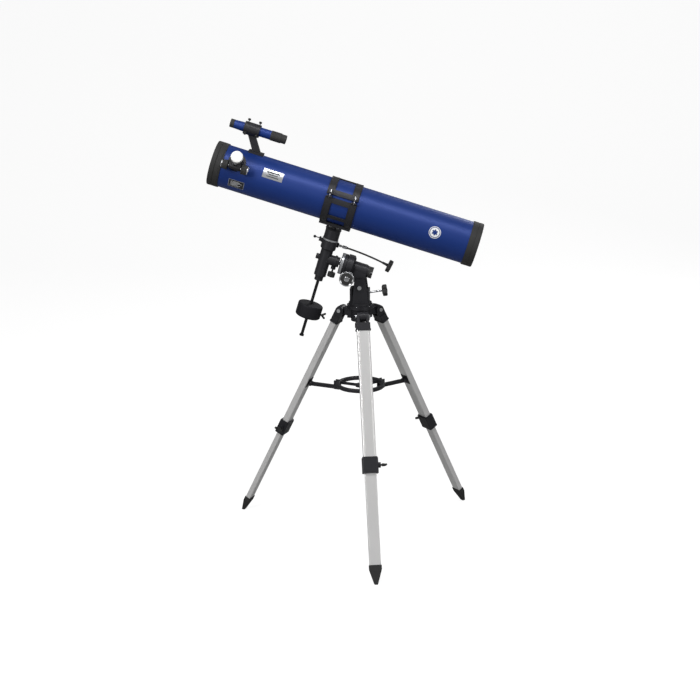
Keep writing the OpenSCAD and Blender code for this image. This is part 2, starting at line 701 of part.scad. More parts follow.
module rear_cell() color("#1a1b1c") at_tube(rear_x - cell_w) difference() {
  union() {
    cylinder(r = ring_r, h = 18, $fn = 128);
    translate([0, 0, 18]) cylinder(r = ring_r - 0.9, h = 1.6, $fn = 128);
    translate([0, 0, 19.5]) cylinder(r = ring_r, h = cell_w - 19.5, $fn = 128);
  }
  translate([0, 0, -1]) cylinder(r = tube_r, h = 14.1, $fn = 128);
  translate([0, 0, 8]) cylinder(r = mirror_d / 2 + 6, h = cell_w - 14, $fn = 128);
}

module primary_mirror() color("#e8ecf2") at_tube(rear_x - cell_w) {
  difference() {
    translate([0, 0, -4]) cylinder(r = mirror_d / 2, h = 15, $fn = 128);
    translate([0, 0, -4 - 1800 + 0.9]) sphere(1800, $fn = 256);
  }
  // three pads between the mirror and the cell
  for (i = [0 : 2]) rotate(120 * i) translate([40, 0, 11]) cylinder(r = 7, h = cell_w - 17);
}

module spider() color("#1a1b1c") {
  at_tube(focuser_x) {
    for (i = [0 : 2]) rotate(120 * i + 30) translate([8, -0.6, -34]) cube([tube_r - 1.2 - 8, 1.2, 16]);
    translate([0, 0, -36]) cylinder(r = 13, h = 22);
  }
  at_focuser() difference() {
    along_x(-13.9) cylinder(r = 12.5, h = 27);
    rotate([0, 45, 0]) translate([0, -30, -40]) cube([60, 60, 120]);
  }
}

// ---------- focuser ----------

module focuser_base() color("#17181a") difference() {
  union() {
    at_focuser() {
      translate([0, 0, 60]) cylinder(r = 29, h = 16);
      translate([0, 0, 70]) cylinder(r = housing_r, h = housing_top - 70);
      translate([-19, -pinion_off, pinion_at]) rotate([0, 90, 0]) cylinder(r = 8, h = 38);
      translate([-19, -pinion_off, pinion_at - 8]) cube([38, pinion_off, 16]);
    }
  }
  at_tube(focuser_x - 60) cylinder(r = tube_r, h = 120, $fn = 128);
  at_focuser() {
    cylinder(r = drawtube_r + fit, h = 140);
    translate([-5, -22.5, 0]) cube([10, 20, 140]);
    translate([0, -pinion_off, pinion_at]) rotate([0, 90, 0]) {
      translate([0, 0, -30]) cylinder(r = 2.5 + fit, h = 60);
      translate([0, 0, -9]) cylinder(r = 5.4, h = 18);
    }
  }
}

module drawtube() color("#c9ccd0") at_focuser() difference() {
  union() {
    translate([0, 0, drawtube_in]) cylinder(r = drawtube_r, h = drawtube_out - drawtube_in);
    translate([-4, -19.5, drawtube_in]) cube([8, 4, 44]);
  }
  cylinder(r = eyepiece_d / 2, h = 140);
}

module focus_knobs() color("#161617")
  at_focuser() translate([0, -pinion_off, pinion_at]) rotate([0, 90, 0]) {
  translate([0, 0, -46]) cylinder(r = 2.5, h = 92);
  rotate(360 / 28) translate([0, 0, -7]) toothed_disc(pinion_tip, 14, 0.9, 14);
  for (s = [-1, 1]) rotate([s > 0 ? 0 : 180, 0, 0]) {
    translate([0, 0, 23]) cylinder(r = 15.5, h = 4);
    translate([0, 0, 26.5]) scalloped_grip(13, 19.5, 16, 1.6);
  }
}

module eyepiece_cap() color("#e6e7e8") at_focuser() difference() {
  translate([0, 0, drawtube_out - 10]) cylinder(r = 19.6, h = 12.4);
  translate([0, 0, drawtube_out - 11]) cylinder(r = drawtube_r + fit, h = 11.2);
}

// ---------- finder ----------

module finder_bracket() color("#17181a") difference() {
  union() {
    at_finder(-508) cylinder(r = 21, h = 52);
    at_head() translate([0, 0, tube_z]) {
      rotate([90, 0, 0]) linear_extrude(12, center = true)
        polygon([[-492, 124], [-466, 124], [-434, 74], [-462, 74]]);
      translate([-474, -15, 60]) cube([50, 30, 16]);
    }
  }
  at_finder(-520) cylinder(r = 17, h = 80);
  at_tube(-520) cylinder(r = tube_r, h = 140, $fn = 128);
  for (x = FINDER_SCREWS, turn = [180, 60, -60])
    at_finder(x) rotate(turn) rotate([0, 90, 0]) cylinder(r = 1.5 + fit, h = 30);
}

module finder_tube() color("#14348a") at_finder(finder_x) difference() {
  union() {
    cylinder(r = 13.3, h = 8);
    translate([0, 0, 8]) cylinder(r1 = 13.3, r2 = 15.2, h = 36);
    translate([0, 0, 44]) cylinder(r = 15, h = 112);
  }
  translate([0, 0, 3]) cylinder(r = 12, h = 160);
}

module finder_eyepiece() color("#17181a") at_finder(finder_x + 137) difference() {
  union() {
    cylinder(r = 16.2, h = 34);
    translate([0, 0, 33]) cylinder(r1 = 16.2, r2 = 14.5, h = 4);
    translate([0, 0, 36]) cylinder(r = 14.5, h = finder_len - 137 - 36);
  }
  translate([0, 0, -1]) cylinder(r = 15 + fit, h = 30);
  translate([0, 0, 20]) cylinder(r = 9, h = 60);
}

module finder_screws() color("#1c1d1f")
  for (x = FINDER_SCREWS, turn = [180, 60, -60]) at_finder(x) rotate(turn) rotate([0, 90, 0]) {
    translate([0, 0, 15.2]) cylinder(r = 1.5, h = 12);
    translate([0, 0, 25.5]) scalloped_grip(4.6, 6, 10, 1);
  }

hub();
hub_bolts();
for (i = [0 : 2]) {
  drilled_leg_upper(i);
  leg_fittings(i);
  leg_lower(i);
  leg_foot(i);
  leg_knob(i);
  spreader_arm(i);
}
spreader_ring();
yoke();
azimuth_knob();
latitude_bolt();
latitude_screw();
polar_housing();
polar_cap();
ra_shaft();
ra_wheel();
ra_worm();
ra_knob();
ra_lock();
dec_housing();
dec_shaft();
dec_wheel();
dec_worm();
dec_cable();
dec_knob();
dec_lock();
saddle();
counterweight_bar();
counterweight();
counterweight_screw();
cradle_lower();
cradle_upper();
cradle_screws();
tube();
front_ring();
rear_cell();
primary_mirror();
spider();
dust_cap();
focuser_base();
drawtube();
focus_knobs();
eyepiece_cap();
finder_bracket();
finder_tube();
finder_eyepiece();
finder_screws();
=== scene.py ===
"""Looks of a reflector telescope on an equatorial mount and a folding tripod."""

import logging
import math
from dataclasses import dataclass, field, replace
from enum import Enum
from typing import Callable, Dict, List, Optional, Sequence, Tuple

import bmesh
import bpy
import numpy as np
from mathutils import Matrix, Vector


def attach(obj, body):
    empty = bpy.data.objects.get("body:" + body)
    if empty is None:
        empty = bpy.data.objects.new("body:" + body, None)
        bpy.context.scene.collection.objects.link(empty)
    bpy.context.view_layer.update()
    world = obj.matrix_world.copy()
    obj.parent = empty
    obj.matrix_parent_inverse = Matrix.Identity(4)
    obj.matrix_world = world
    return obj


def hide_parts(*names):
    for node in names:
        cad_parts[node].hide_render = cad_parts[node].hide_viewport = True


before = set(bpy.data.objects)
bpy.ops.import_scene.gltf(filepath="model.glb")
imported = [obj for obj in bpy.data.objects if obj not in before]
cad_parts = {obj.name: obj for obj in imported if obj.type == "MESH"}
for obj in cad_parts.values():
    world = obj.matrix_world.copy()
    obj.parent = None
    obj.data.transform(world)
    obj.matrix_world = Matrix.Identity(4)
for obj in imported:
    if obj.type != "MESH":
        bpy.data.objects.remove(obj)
log = logging.getLogger("scene")

Color = Tuple[float, float, float]
MM = 0.001
# edges sharper than this stay crisp under smooth shading
SHARP_DEG = 38
DUST_GREY = (0.55, 0.53, 0.5)


class Pattern(Enum):
    """How a finish varies over its surface: by an even grain, or by lines drawn one way."""

    GRAINED = "grained"
    BRUSHED = "brushed"


# ---------------------------------------------------------------- frames


@dataclass(frozen=True)
class Frame:
    """A right-handed frame in the row frame, millimetres in and metres out.

    Attributes:
        origin: the frame's origin in millimetres.
        x: direction of the frame's X.
        y: direction of the frame's Y.
    """

    origin: Tuple[float, float, float]
    x: Tuple[float, float, float] = (1.0, 0.0, 0.0)
    y: Tuple[float, float, float] = (0.0, 1.0, 0.0)

    def axes(self) -> np.ndarray:
        """Gives the three axes as rows.

        Returns:
            A 3 by 3 array of unit rows.
        """
        x_axis = np.array(self.x) / np.linalg.norm(self.x)
        y_axis = np.array(self.y) / np.linalg.norm(self.y)
        return np.stack([x_axis, y_axis, np.cross(x_axis, y_axis)])

    def place(self, points: np.ndarray) -> np.ndarray:
        """Takes local millimetres to row metres.

        Args:
            points: array whose last axis holds x, y and z.

        Returns:
            The same array in the row frame.
        """
        return (np.asarray(points) @ self.axes() + np.array(self.origin)) * MM

    def sub(
        self, offset: Sequence[float], turn_x: float = 0.0, turn_y: float = 0.0, turn_z: float = 0.0
    ) -> "Frame":
        """Makes a frame at an offset, turned about its own X, then Y, then Z.

        Args:
            offset: local offset in millimetres.
            turn_x: degrees about X.
            turn_y: degrees about Y.
            turn_z: degrees about Z.

        Returns:
            The new frame.
        """
        base = Matrix(self.axes().tolist()).transposed()
        turned = (
            base
            @ Matrix.Rotation(math.radians(turn_z), 3, "Z")
            @ Matrix.Rotation(math.radians(turn_y), 3, "Y")
        )
        turned = turned @ Matrix.Rotation(math.radians(turn_x), 3, "X")
        origin = base @ Vector(offset) + Vector(self.origin)
        return Frame(tuple(origin), tuple(turned.col[0]), tuple(turned.col[1]))


@dataclass(frozen=True)
class Layout:
    """Sizes that place the sub-assemblies, in millimetres and degrees.

    Attributes:
        tilt: slope of the polar axis, and so of the tube.
        pivot_z: height of the latitude hinge.
        polar_h: polar axis above the hinge.
        reach: hinge to declination axis, along the polar axis.
        tube_off: polar axis to tube axis.
        tube_r: radius of the tube.
        ring_r: radius of the end rings.
        front_from_dec: declination axis to the cap's face.
        tube_len: length from the cap's face to the rear cell's end.
        focuser_at: cap's face to the focuser's axis.
        focuser_turn: focuser's angle above the level.
        finder_h: tube axis to finder axis.
        hinge_r: radius of the leg hinges.
        hinge_z: height of the leg hinges.
        foot_r: radius of the feet.
        tripod_turn: turn of the tripod under the mount.
    """

    tilt: float = 17.0
    pivot_z: float = 860.0
    polar_h: float = 53.5
    reach: float = 138.0
    tube_off: float = 193.0
    tube_r: float = 70.0
    ring_r: float = 73.0
    front_from_dec: float = 437.6
    tube_len: float = 900.0
    focuser_at: float = 82.0
    focuser_turn: float = 30.0
    finder_h: float = 141.0
    hinge_r: float = 68.0
    hinge_z: float = 773.0
    foot_r: float = 457.0
    tripod_turn: float = 11.0

    @property
    def front_x(self) -> float:
        """Station of the cap's face along the head's X."""
        return -self.reach - self.front_from_dec

    @property
    def rear_x(self) -> float:
        """Station of the rear cell's end."""
        return self.front_x + self.tube_len

    @property
    def tube_z(self) -> float:
        """Height of the tube's axis in the head's frame."""
        return self.polar_h + self.tube_off

    def stand(self) -> Frame:
        """Frame of the tripod's upright axis, on the floor.

        Returns:
            The frame.
        """
        slope = math.radians(self.tilt)
        middle = -(self.front_x + self.rear_x) / 2
        x = middle * math.cos(slope) - self.tube_z * math.sin(slope)
        turn = math.radians(self.tripod_turn)
        spread = math.cos(turn) - math.sin(turn + math.radians(30))
        return Frame((x, ((self.foot_r + 5.0) * spread - 3.3) / 2, 0.0))

    def head(self) -> Frame:
        """Frame of the head: X down the polar axis, Z up the declination axis.

        Returns:
            The frame.
        """
        return self.stand().sub((0, 0, self.pivot_z), turn_y=self.tilt)

    def tube(self, station: float = 0.0) -> Frame:
        """Frame on the tube's axis, with Z along it and X downwards.

        Args:
            station: place along the head's X.

        Returns:
            The frame.
        """
        return self.head().sub((station, 0, self.tube_z), turn_y=90)

    def focuser(self) -> Frame:
        """Frame of the focuser, with Z outward from the tube's axis.

        Returns:
            The frame.
        """
        return self.head().sub(
            (self.front_x + self.focuser_at, 0, self.tube_z), turn_x=90 - self.focuser_turn
        )

    def cross(self) -> Frame:
        """Frame at the crossing of the polar and declination axes.

        Returns:
            The frame.
        """
        return self.head().sub((-self.reach, 0, self.polar_h))

    def leg(self, index: int) -> Frame:
        """Frame of a leg, with Z down it from the hinge and X inward.

        Args:
            index: 0, 1 or 2.

        Returns:
            The frame.
        """
        lean = math.degrees(math.atan((self.foot_r - self.hinge_r) / self.hinge_z))
        plane = self.stand().sub((0, 0, 0), turn_z=self.tripod_turn - 90 + 120 * index)
        return plane.sub((self.hinge_r, 0, self.hinge_z), turn_y=180 - lean)


# ---------------------------------------------------------------- meshes


@dataclass
class Grid:
    """A grid surface, with vertex rows along u and columns along v.

    Attributes:
        points: array of shape (rows, columns, 3), in metres.
        closed_u: the last row joins the first.
        closed_v: the last column joins the first.
    """

    points: np.ndarray
    closed_u: bool = False
    closed_v: bool = True

    def faces(self, offset: int = 0) -> np.ndarray:
        """Lists the quads as corner indices.

        Args:
            offset: index of the first vertex.

        Returns:
            Array of shape (faces, 4).
        """
        rows, cols = self.points.shape[:2]
        u = np.arange(rows if self.closed_u else rows - 1)
        v = np.arange(cols if self.closed_v else cols - 1)
        uu, vv = np.meshgrid(u, v, indexing="ij")
        nu, nv = (uu + 1) % rows, (vv + 1) % cols
        corners = np.stack([uu * cols + vv, nu * cols + vv, nu * cols + nv, uu * cols + nv], axis=-1)
        return corners.reshape(-1, 4) + offset


def make_piece(name: str, grids: Sequence[Grid]) -> bpy.types.Object:
    """Builds one mesh object from grid surfaces, with smooth shading.

    Args:
        name: the object's name.
        grids: its surfaces.

    Returns:
        The new object, at the origin.
    """
    points = np.concatenate([g.points.reshape(-1, 3) for g in grids])
    starts = np.cumsum([0] + [g.points.shape[0] * g.points.shape[1] for g in grids[:-1]])
    quads = np.concatenate([g.faces(int(s)) for g, s in zip(grids, starts)])
    mesh = bpy.data.meshes.new(name)
    mesh.from_pydata(points.tolist(), [], quads.tolist())
    mesh.validate()
    weld(mesh)
    mesh.polygons.foreach_set("use_smooth", np.ones(len(mesh.polygons), dtype=bool))
    mesh.set_sharp_from_angle(angle=math.radians(SHARP_DEG))
    mesh.update()
    obj = bpy.data.objects.new(name, mesh)
    bpy.context.scene.collection.objects.link(obj)
    return obj


def weld(mesh: bpy.types.Mesh, distance: float = 1e-6) -> None:
    """Merges doubled vertices at poles, and turns closed shells outwards.

    Args:
        mesh: the mesh to clean.
        distance: merging distance in metres.
    """
    work = bmesh.new()
    work.from_mesh(mesh)
    bmesh.ops.remove_doubles(work, verts=work.verts, dist=distance)
    bmesh.ops.dissolve_degenerate(work, edges=work.edges, dist=distance / 10)
    bmesh.ops.recalc_face_normals(work, faces=work.faces)
    work.to_mesh(mesh)
    work.free()


def rounded(corners: Sequence[Tuple[float, float]], radius: float, steps: int = 4) -> np.ndarray:
    """Rounds the inner corners of an open outline.

    Each corner is replaced by a quadratic curve that starts and ends at most
    the radius, or 45 % of the shorter side, away from it.

    Args:
        corners: (radius, height) pairs.
        radius: how far from each corner the rounding starts.
        steps: pieces of each curve.

    Returns:
        Array of shape (points, 2).
    """
    pts = np.array(corners, dtype=float)
    out = [pts[0]]
    for before, here, after in zip(pts[:-2], pts[1:-1], pts[2:]):
        back, ahead = before - here, after - here
        reach_back = min(radius, 0.45 * np.linalg.norm(back))
        reach_ahead = min(radius, 0.45 * np.linalg.norm(ahead))
        start = here + back / max(np.linalg.norm(back), 1e-9) * reach_back
        end = here + ahead / max(np.linalg.norm(ahead), 1e-9) * reach_ahead
        t = np.linspace(0, 1, steps + 1)[:, None]
        out.extend((1 - t) ** 2 * start + 2 * t * (1 - t) * here + t**2 * end)
    out.append(pts[-1])
    return np.array(out)


def lathe(
    at: Frame,
    corners: Sequence[Tuple[float, float]],
    radius: float = 0.8,
    around: int = 96,
    wave: Optional[Callable[[np.ndarray, np.ndarray], np.ndarray]] = None,
) -> Grid:
    """Turns an outline about a frame's Z.

    A point is (r cos a, r sin a, z). With a wave, r becomes r + wave(a, z).

    Args:
        at: frame whose Z is the axis.
        corners: (radius, height) pairs.
        radius: rounding at the corners.
        around: columns round the axis.
        wave: offset of the radius as a function of angle and height.

    Returns:
        The surface.
    """
    outline = rounded(corners, radius)
    angle = np.linspace(0, 2 * np.pi, around, endpoint=False)
    r, a = np.meshgrid(outline[:, 0], angle, indexing="ij")
    z = np.repeat(outline[:, 1][:, None], around, axis=1)
    if wave is not None:
        r = r + wave(a, z)
    return Grid(at.place(np.stack([r * np.cos(a), r * np.sin(a), z], axis=-1)))


def swept(path: np.ndarray, radius: np.ndarray, around: int = 20) -> Grid:
    """Runs a round section along a path in metres, with its ends drawn shut.

    The section's plane is square to the path's own tangent, and its X is
    square to the row frame's Y as well.

    Args:
        path: array of shape (points, 3).
        radius: radius at every point, or an array (points, around).
        around: columns round the section.

    Returns:
        The surface.
    """
    tangent = np.gradient(path, axis=0)
    tangent /= np.linalg.norm(tangent, axis=1, keepdims=True)
    side = np.cross(tangent, np.array([0.0, 1.0, 0.0]))
    side /= np.linalg.norm(side, axis=1, keepdims=True)
    other = np.cross(tangent, side)
    a = np.linspace(0, 2 * np.pi, around, endpoint=False)
    r = np.broadcast_to(np.asarray(radius).reshape(len(path), -1), (len(path), around))
    ring = side[:, None] * np.cos(a)[None, :, None] + other[:, None] * np.sin(a)[None, :, None]
    body = path[:, None] + ring * r[..., None]
    first = np.repeat(path[:1][None], around, axis=1).reshape(1, around, 3)
    last = np.repeat(path[-1:][None], around, axis=1).reshape(1, around, 3)
    return Grid(np.concatenate([first, body, last]))


def patch(
    at: Frame, r: float, z: Tuple[float, float], turn: Tuple[float, float], rows: int = 24, cols: int = 24
) -> Grid:
    """Lays a rectangle on a cylinder about a frame's Z.

    Args:
        at: frame of the cylinder.
        r: radius in millimetres.
        z: lowest and highest height.
        turn: first and last angle in degrees.
        rows: rows along Z.
        cols: columns round the axis.

    Returns:
        The open surface.
    """
    zz, aa = np.meshgrid(np.linspace(*z, rows), np.radians(np.linspace(*turn, cols)), indexing="ij")
    return Grid(at.place(np.stack([r * np.cos(aa), r * np.sin(aa), zz], axis=-1)), closed_v=False)


# ---------------------------------------------------------------- node groups


class Groups:
    """Shader node groups that the finishes share, each made once."""

    _made: Dict[str, bpy.types.NodeTree] = {}

    @classmethod
    def _start(
        cls, name: str, inputs: Sequence[Tuple[str, float]], outputs: Sequence[str]
    ) -> bpy.types.NodeTree:
        """Makes an empty group with float sockets and a coordinate input.

        Args:
            name: the group's name.
            inputs: names and default values.
            outputs: names of the float outputs.

        Returns:
            The node tree.
        """
        tree = bpy.data.node_groups.new(name, "ShaderNodeTree")
        tree.interface.new_socket("Vector", in_out="INPUT", socket_type="NodeSocketVector")
        for label, value in inputs:
            socket = tree.interface.new_socket(label, in_out="INPUT", socket_type="NodeSocketFloat")
            socket.default_value = value
        for label in outputs:
            tree.interface.new_socket(label, in_out="OUTPUT", socket_type="NodeSocketFloat")
        return tree

    @classmethod
    def grain(cls) -> bpy.types.NodeTree:
        """Fine and coarse noise over a surface.

        Returns:
            Group with inputs Vector, Fine, Coarse and outputs Height, Cloud.
        """
        if "grain" not in cls._made:
            tree = cls._start("Surface grain", [("Fine", 900.0), ("Coarse", 12.0)], ["Height", "Cloud"])
            n, link = tree.nodes, tree.links.new
            src, out = n.new("NodeGroupInput"), n.new("NodeGroupOutput")
            for label, socket, detail in (("Height", "Fine", 3.0), ("Cloud", "Coarse", 5.0)):
                noise = n.new("ShaderNodeTexNoise")
                noise.inputs["Detail"].default_value = detail
                link(src.outputs["Vector"], noise.inputs["Vector"])
                link(src.outputs[socket], noise.inputs["Scale"])
                link(noise.outputs["Fac"], out.inputs[label])
            cls._made["grain"] = tree
        return cls._made["grain"]

    @classmethod
    def streak(cls) -> bpy.types.NodeTree:
        """Fine lines drawn out along the coordinate's X.

        Returns:
            Group with inputs Vector, Density, Length and output Lines.
        """
        if "streak" not in cls._made:
            tree = cls._start("Drawn lines", [("Density", 1500.0), ("Length", 0.02)], ["Lines"])
            n, link = tree.nodes, tree.links.new
            src, out = n.new("NodeGroupInput"), n.new("NodeGroupOutput")
            split, join = n.new("ShaderNodeSeparateXYZ"), n.new("ShaderNodeCombineXYZ")
            shrink, noise = n.new("ShaderNodeMath"), n.new("ShaderNodeTexNoise")
            shrink.operation = "MULTIPLY"
            link(src.outputs["Vector"], split.inputs[0])
            link(split.outputs["X"], shrink.inputs[0])
            link(src.outputs["Length"], shrink.inputs[1])
            link(shrink.outputs[0], join.inputs["X"])
            link(split.outputs["Y"], join.inputs["Y"])
            link(split.outputs["Z"], join.inputs["Z"])
            link(join.outputs[0], noise.inputs["Vector"])
            link(src.outputs["Density"], noise.inputs["Scale"])
            link(noise.outputs["Fac"], out.inputs["Lines"])
            cls._made["streak"] = tree
        return cls._made["streak"]

    @classmethod
    def dust(cls) -> bpy.types.NodeTree:
        """Dust that settles where a surface faces up.

        Returns:
            Group with inputs Vector, Amount and output Mask.
        """
        if "dust" not in cls._made:
            tree = cls._start("Settled dust", [("Amount", 0.1)], ["Mask"])
            n, link = tree.nodes, tree.links.new
            src, out = n.new("NodeGroupInput"), n.new("NodeGroupOutput")
            geo, split = n.new("ShaderNodeNewGeometry"), n.new("ShaderNodeSeparateXYZ")
            up, noise = n.new("ShaderNodeMapRange"), n.new("ShaderNodeTexNoise")
            both, amount = n.new("ShaderNodeMath"), n.new("ShaderNodeMath")
            up.inputs["From Min"].default_value = 0.2
            noise.inputs["Scale"].default_value = 40.0
            noise.inputs["Detail"].default_value = 6.0
            both.operation = amount.operation = "MULTIPLY"
            link(geo.outputs["Normal"], split.inputs[0])
            link(split.outputs["Z"], up.inputs["Value"])
            link(src.outputs["Vector"], noise.inputs["Vector"])
            link(up.outputs["Result"], both.inputs[0])
            link(noise.outputs["Fac"], both.inputs[1])
            link(both.outputs[0], amount.inputs[0])
            link(src.outputs["Amount"], amount.inputs[1])
            link(amount.outputs[0], out.inputs["Mask"])
            cls._made["dust"] = tree
        return cls._made["dust"]


@dataclass(frozen=True)
class Finish:
    """A procedural surface finish.

    Attributes:
        name: the material's name.
        color: base colour.
        slot: name of a material slot; not used.
        pattern: how the surface varies.
        roughness: middle roughness.
        spread: change of roughness over the surface.
        metallic: metallic value.
        coat: clear coat weight.
        fine: scale of the fine noise.
        bump: height of the fine noise in metres.
        shade: change of the colour over the surface.
        dust: amount of dust on faces that look up.
        drawn: direction of drawn lines, for brushed metal.
        ior: index of refraction, low where a face should give little glare.
    """

    name: str
    color: Color
    slot: str
    pattern: Pattern = Pattern.GRAINED
    roughness: float = 0.4
    spread: float = 0.1
    metallic: float = 0.0
    coat: float = 0.0
    fine: float = 900.0
    bump: float = 0.00004
    shade: float = 0.1
    dust: float = 0.012
    drawn: Tuple[float, float, float] = (1.0, 0.0, 0.0)
    ior: float = 1.45

    def material(self) -> bpy.types.Material:
        """Makes the material, or gives the one already made.

        Returns:
            The material.
        """
        found = bpy.data.materials.get(self.name)
        if found is not None:
            return found
        mat = bpy.data.materials.new(self.name)
        mat.use_nodes = True
        n, link = mat.node_tree.nodes, mat.node_tree.links.new
        shader = n["Principled BSDF"]
        shader.inputs["Metallic"].default_value = self.metallic
        shader.inputs["Coat Weight"].default_value = self.coat
        shader.inputs["Coat Roughness"].default_value = 0.06
        shader.inputs["IOR"].default_value = self.ior
        coords = n.new("ShaderNodeTexCoord").outputs["Object"]
        if self.pattern is Pattern.BRUSHED:
            turn = n.new("ShaderNodeMapping")
            spin = Vector((1, 0, 0)).rotation_difference(Vector(self.drawn)).inverted().to_euler()
            turn.inputs["Rotation"].default_value = spin
            link(coords, turn.inputs["Vector"])
            coords = turn.outputs["Vector"]
        grain = n.new("ShaderNodeGroup")
        grain.node_tree = Groups.grain()
        grain.inputs["Fine"].default_value = self.fine
        link(coords, grain.inputs["Vector"])
        height = grain.outputs["Height"]
        if self.pattern is Pattern.BRUSHED:
            lines = n.new("ShaderNodeGroup")
            lines.node_tree = Groups.streak()
            link(coords, lines.inputs["Vector"])
            height = lines.outputs["Lines"]
        rough = n.new("ShaderNodeMapRange")
        rough.inputs["To Min"].default_value = max(0.02, self.roughness - self.spread)
        rough.inputs["To Max"].default_value = min(1.0, self.roughness + self.spread)
        link(height if self.pattern is Pattern.BRUSHED else grain.outputs["Cloud"], rough.inputs["Value"])
        dust = n.new("ShaderNodeGroup")
        dust.node_tree = Groups.dust()
        dust.inputs["Amount"].default_value = self.dust
        link(coords, dust.inputs["Vector"])
        settle = n.new("ShaderNodeMath")
        settle.operation = "ADD"
        link(rough.outputs["Result"], settle.inputs[0])
        link(dust.outputs["Mask"], settle.inputs[1])
        link(settle.outputs[0], shader.inputs["Roughness"])
        tone = n.new("ShaderNodeMix")
        tone.data_type = "RGBA"
        dark = tuple(c * (1 - self.shade) for c in self.color)
        light = tuple(min(1.0, c * (1 + self.shade)) for c in self.color)
        tone.inputs["A"].default_value = (*dark, 1.0)
        tone.inputs["B"].default_value = (*light, 1.0)
        link(grain.outputs["Cloud"], tone.inputs["Factor"])
        cover = n.new("ShaderNodeMix")
        cover.data_type = "RGBA"
        cover.inputs["B"].default_value = (*DUST_GREY, 1.0)
        link(dust.outputs["Mask"], cover.inputs["Factor"])
        link(tone.outputs["Result"], cover.inputs["A"])
        link(cover.outputs["Result"], shader.inputs["Base Color"])
        bump = n.new("ShaderNodeBump")
        bump.inputs["Distance"].default_value = self.bump
        bump.inputs["Strength"].default_value = 0.6
        link(height, bump.inputs["Height"])
        link(bump.outputs["Normal"], shader.inputs["Normal"])
        return mat

    def on(self, obj: bpy.types.Object) -> None:
        """Gives an object this finish on all its faces.

        Args:
            obj: a CAD node or a new piece.
        """
        mat = self.material()
        if not obj.data.materials:
            obj.data.materials.append(mat)
        for place in obj.material_slots:
            place.material = mat


BLACK_CAST = Finish(
    "black_casting", (0.006, 0.006, 0.007), "black_casting",
    roughness=0.22, spread=0.06, coat=0.25, fine=1100, ior=1.4,
)
BLACK_PLASTIC = Finish(
    "black_plastic", (0.006, 0.006, 0.006), "black_plastic",
    roughness=0.28, spread=0.07, fine=2200, bump=0.00002, ior=1.38,
)
FELT = Finish("felt", (0.01, 0.01, 0.01), "black_plastic", roughness=0.9, spread=0.05)
BLACK_RUBBER = Finish(
    "foot_rubber", (0.009, 0.009, 0.009), "foot_rubber", roughness=0.6, spread=0.08, fine=1800, dust=0.06
)
ANODISED = Finish(
    "leg_aluminium", (0.82, 0.815, 0.81), "leg_aluminium", Pattern.BRUSHED,
    roughness=0.32, spread=0.06, metallic=0.55, bump=0.00001, shade=0.04,
)
CHROME = Finish(
    "chrome", (0.72, 0.73, 0.75), "chrome",
    roughness=0.12, spread=0.05, metallic=1.0, bump=0.000004, shade=0.03,
)
STEEL = Finish(
    "steel", (0.33, 0.335, 0.35), "steel", Pattern.BRUSHED,
    roughness=0.28, spread=0.08, metallic=1.0, bump=0.00001, drawn=(0.29, 0.0, 0.96),
)
TURNED = Finish(
    "satin_aluminium", (0.5, 0.51, 0.53), "satin_aluminium",
    roughness=0.3, spread=0.08, metallic=0.9, fine=1500, bump=0.00001,
)
BLACKENED = Finish(
    "blackened_steel", (0.02, 0.02, 0.022), "steel", Pattern.BRUSHED,
    roughness=0.3, spread=0.1, metallic=0.6, bump=0.00001, drawn=(0.29, 0.0, 0.96),
)
SLEEVE = Finish(
    "cable_sleeve", (0.02, 0.02, 0.022), "cable_sleeve", roughness=0.4, spread=0.08, fine=2500, bump=0.00002
)
IRON = Finish(
    "weight_iron", (0.007, 0.007, 0.008), "weight_iron",
    roughness=0.34, spread=0.12, coat=0.5, fine=500, bump=0.00007,
)
BLUE = Finish(
    "tube_blue", (0.0006, 0.055, 0.27), "tube_blue",
    roughness=0.17, spread=0.03, coat=0.15, fine=260, bump=0.000006, shade=0.06, dust=0.004, ior=1.38,
)
SPIDER_BLACK = Finish("spider_black", (0.01, 0.01, 0.01), "spider_black", roughness=0.7, spread=0.1)
WHITE = Finish(
    "white_plastic", (0.8, 0.8, 0.78), "white_plastic",
    roughness=0.3, spread=0.06, coat=0.3, fine=1500, bump=0.00001,
)
SILVER_LABEL = Finish(
    "silver_label", (0.55, 0.56, 0.58), "satin_aluminium", Pattern.BRUSHED,
    roughness=0.3, spread=0.06, metallic=0.9, bump=0.000005,
)
BLACK_LABEL = Finish(
    "black_label", (0.008, 0.008, 0.009), "black_plastic",
    roughness=0.25, spread=0.05, coat=0.6, bump=0.000005,
)
INK_WHITE = Finish(
    "label_white", (0.8, 0.81, 0.82), "white_plastic", roughness=0.4, spread=0.05, fine=700, bump=0.000005
)
INK_DARK = Finish(
    "label_ink", (0.03, 0.032, 0.036), "black_plastic", roughness=0.4, spread=0.05, fine=700, bump=0.000005
)


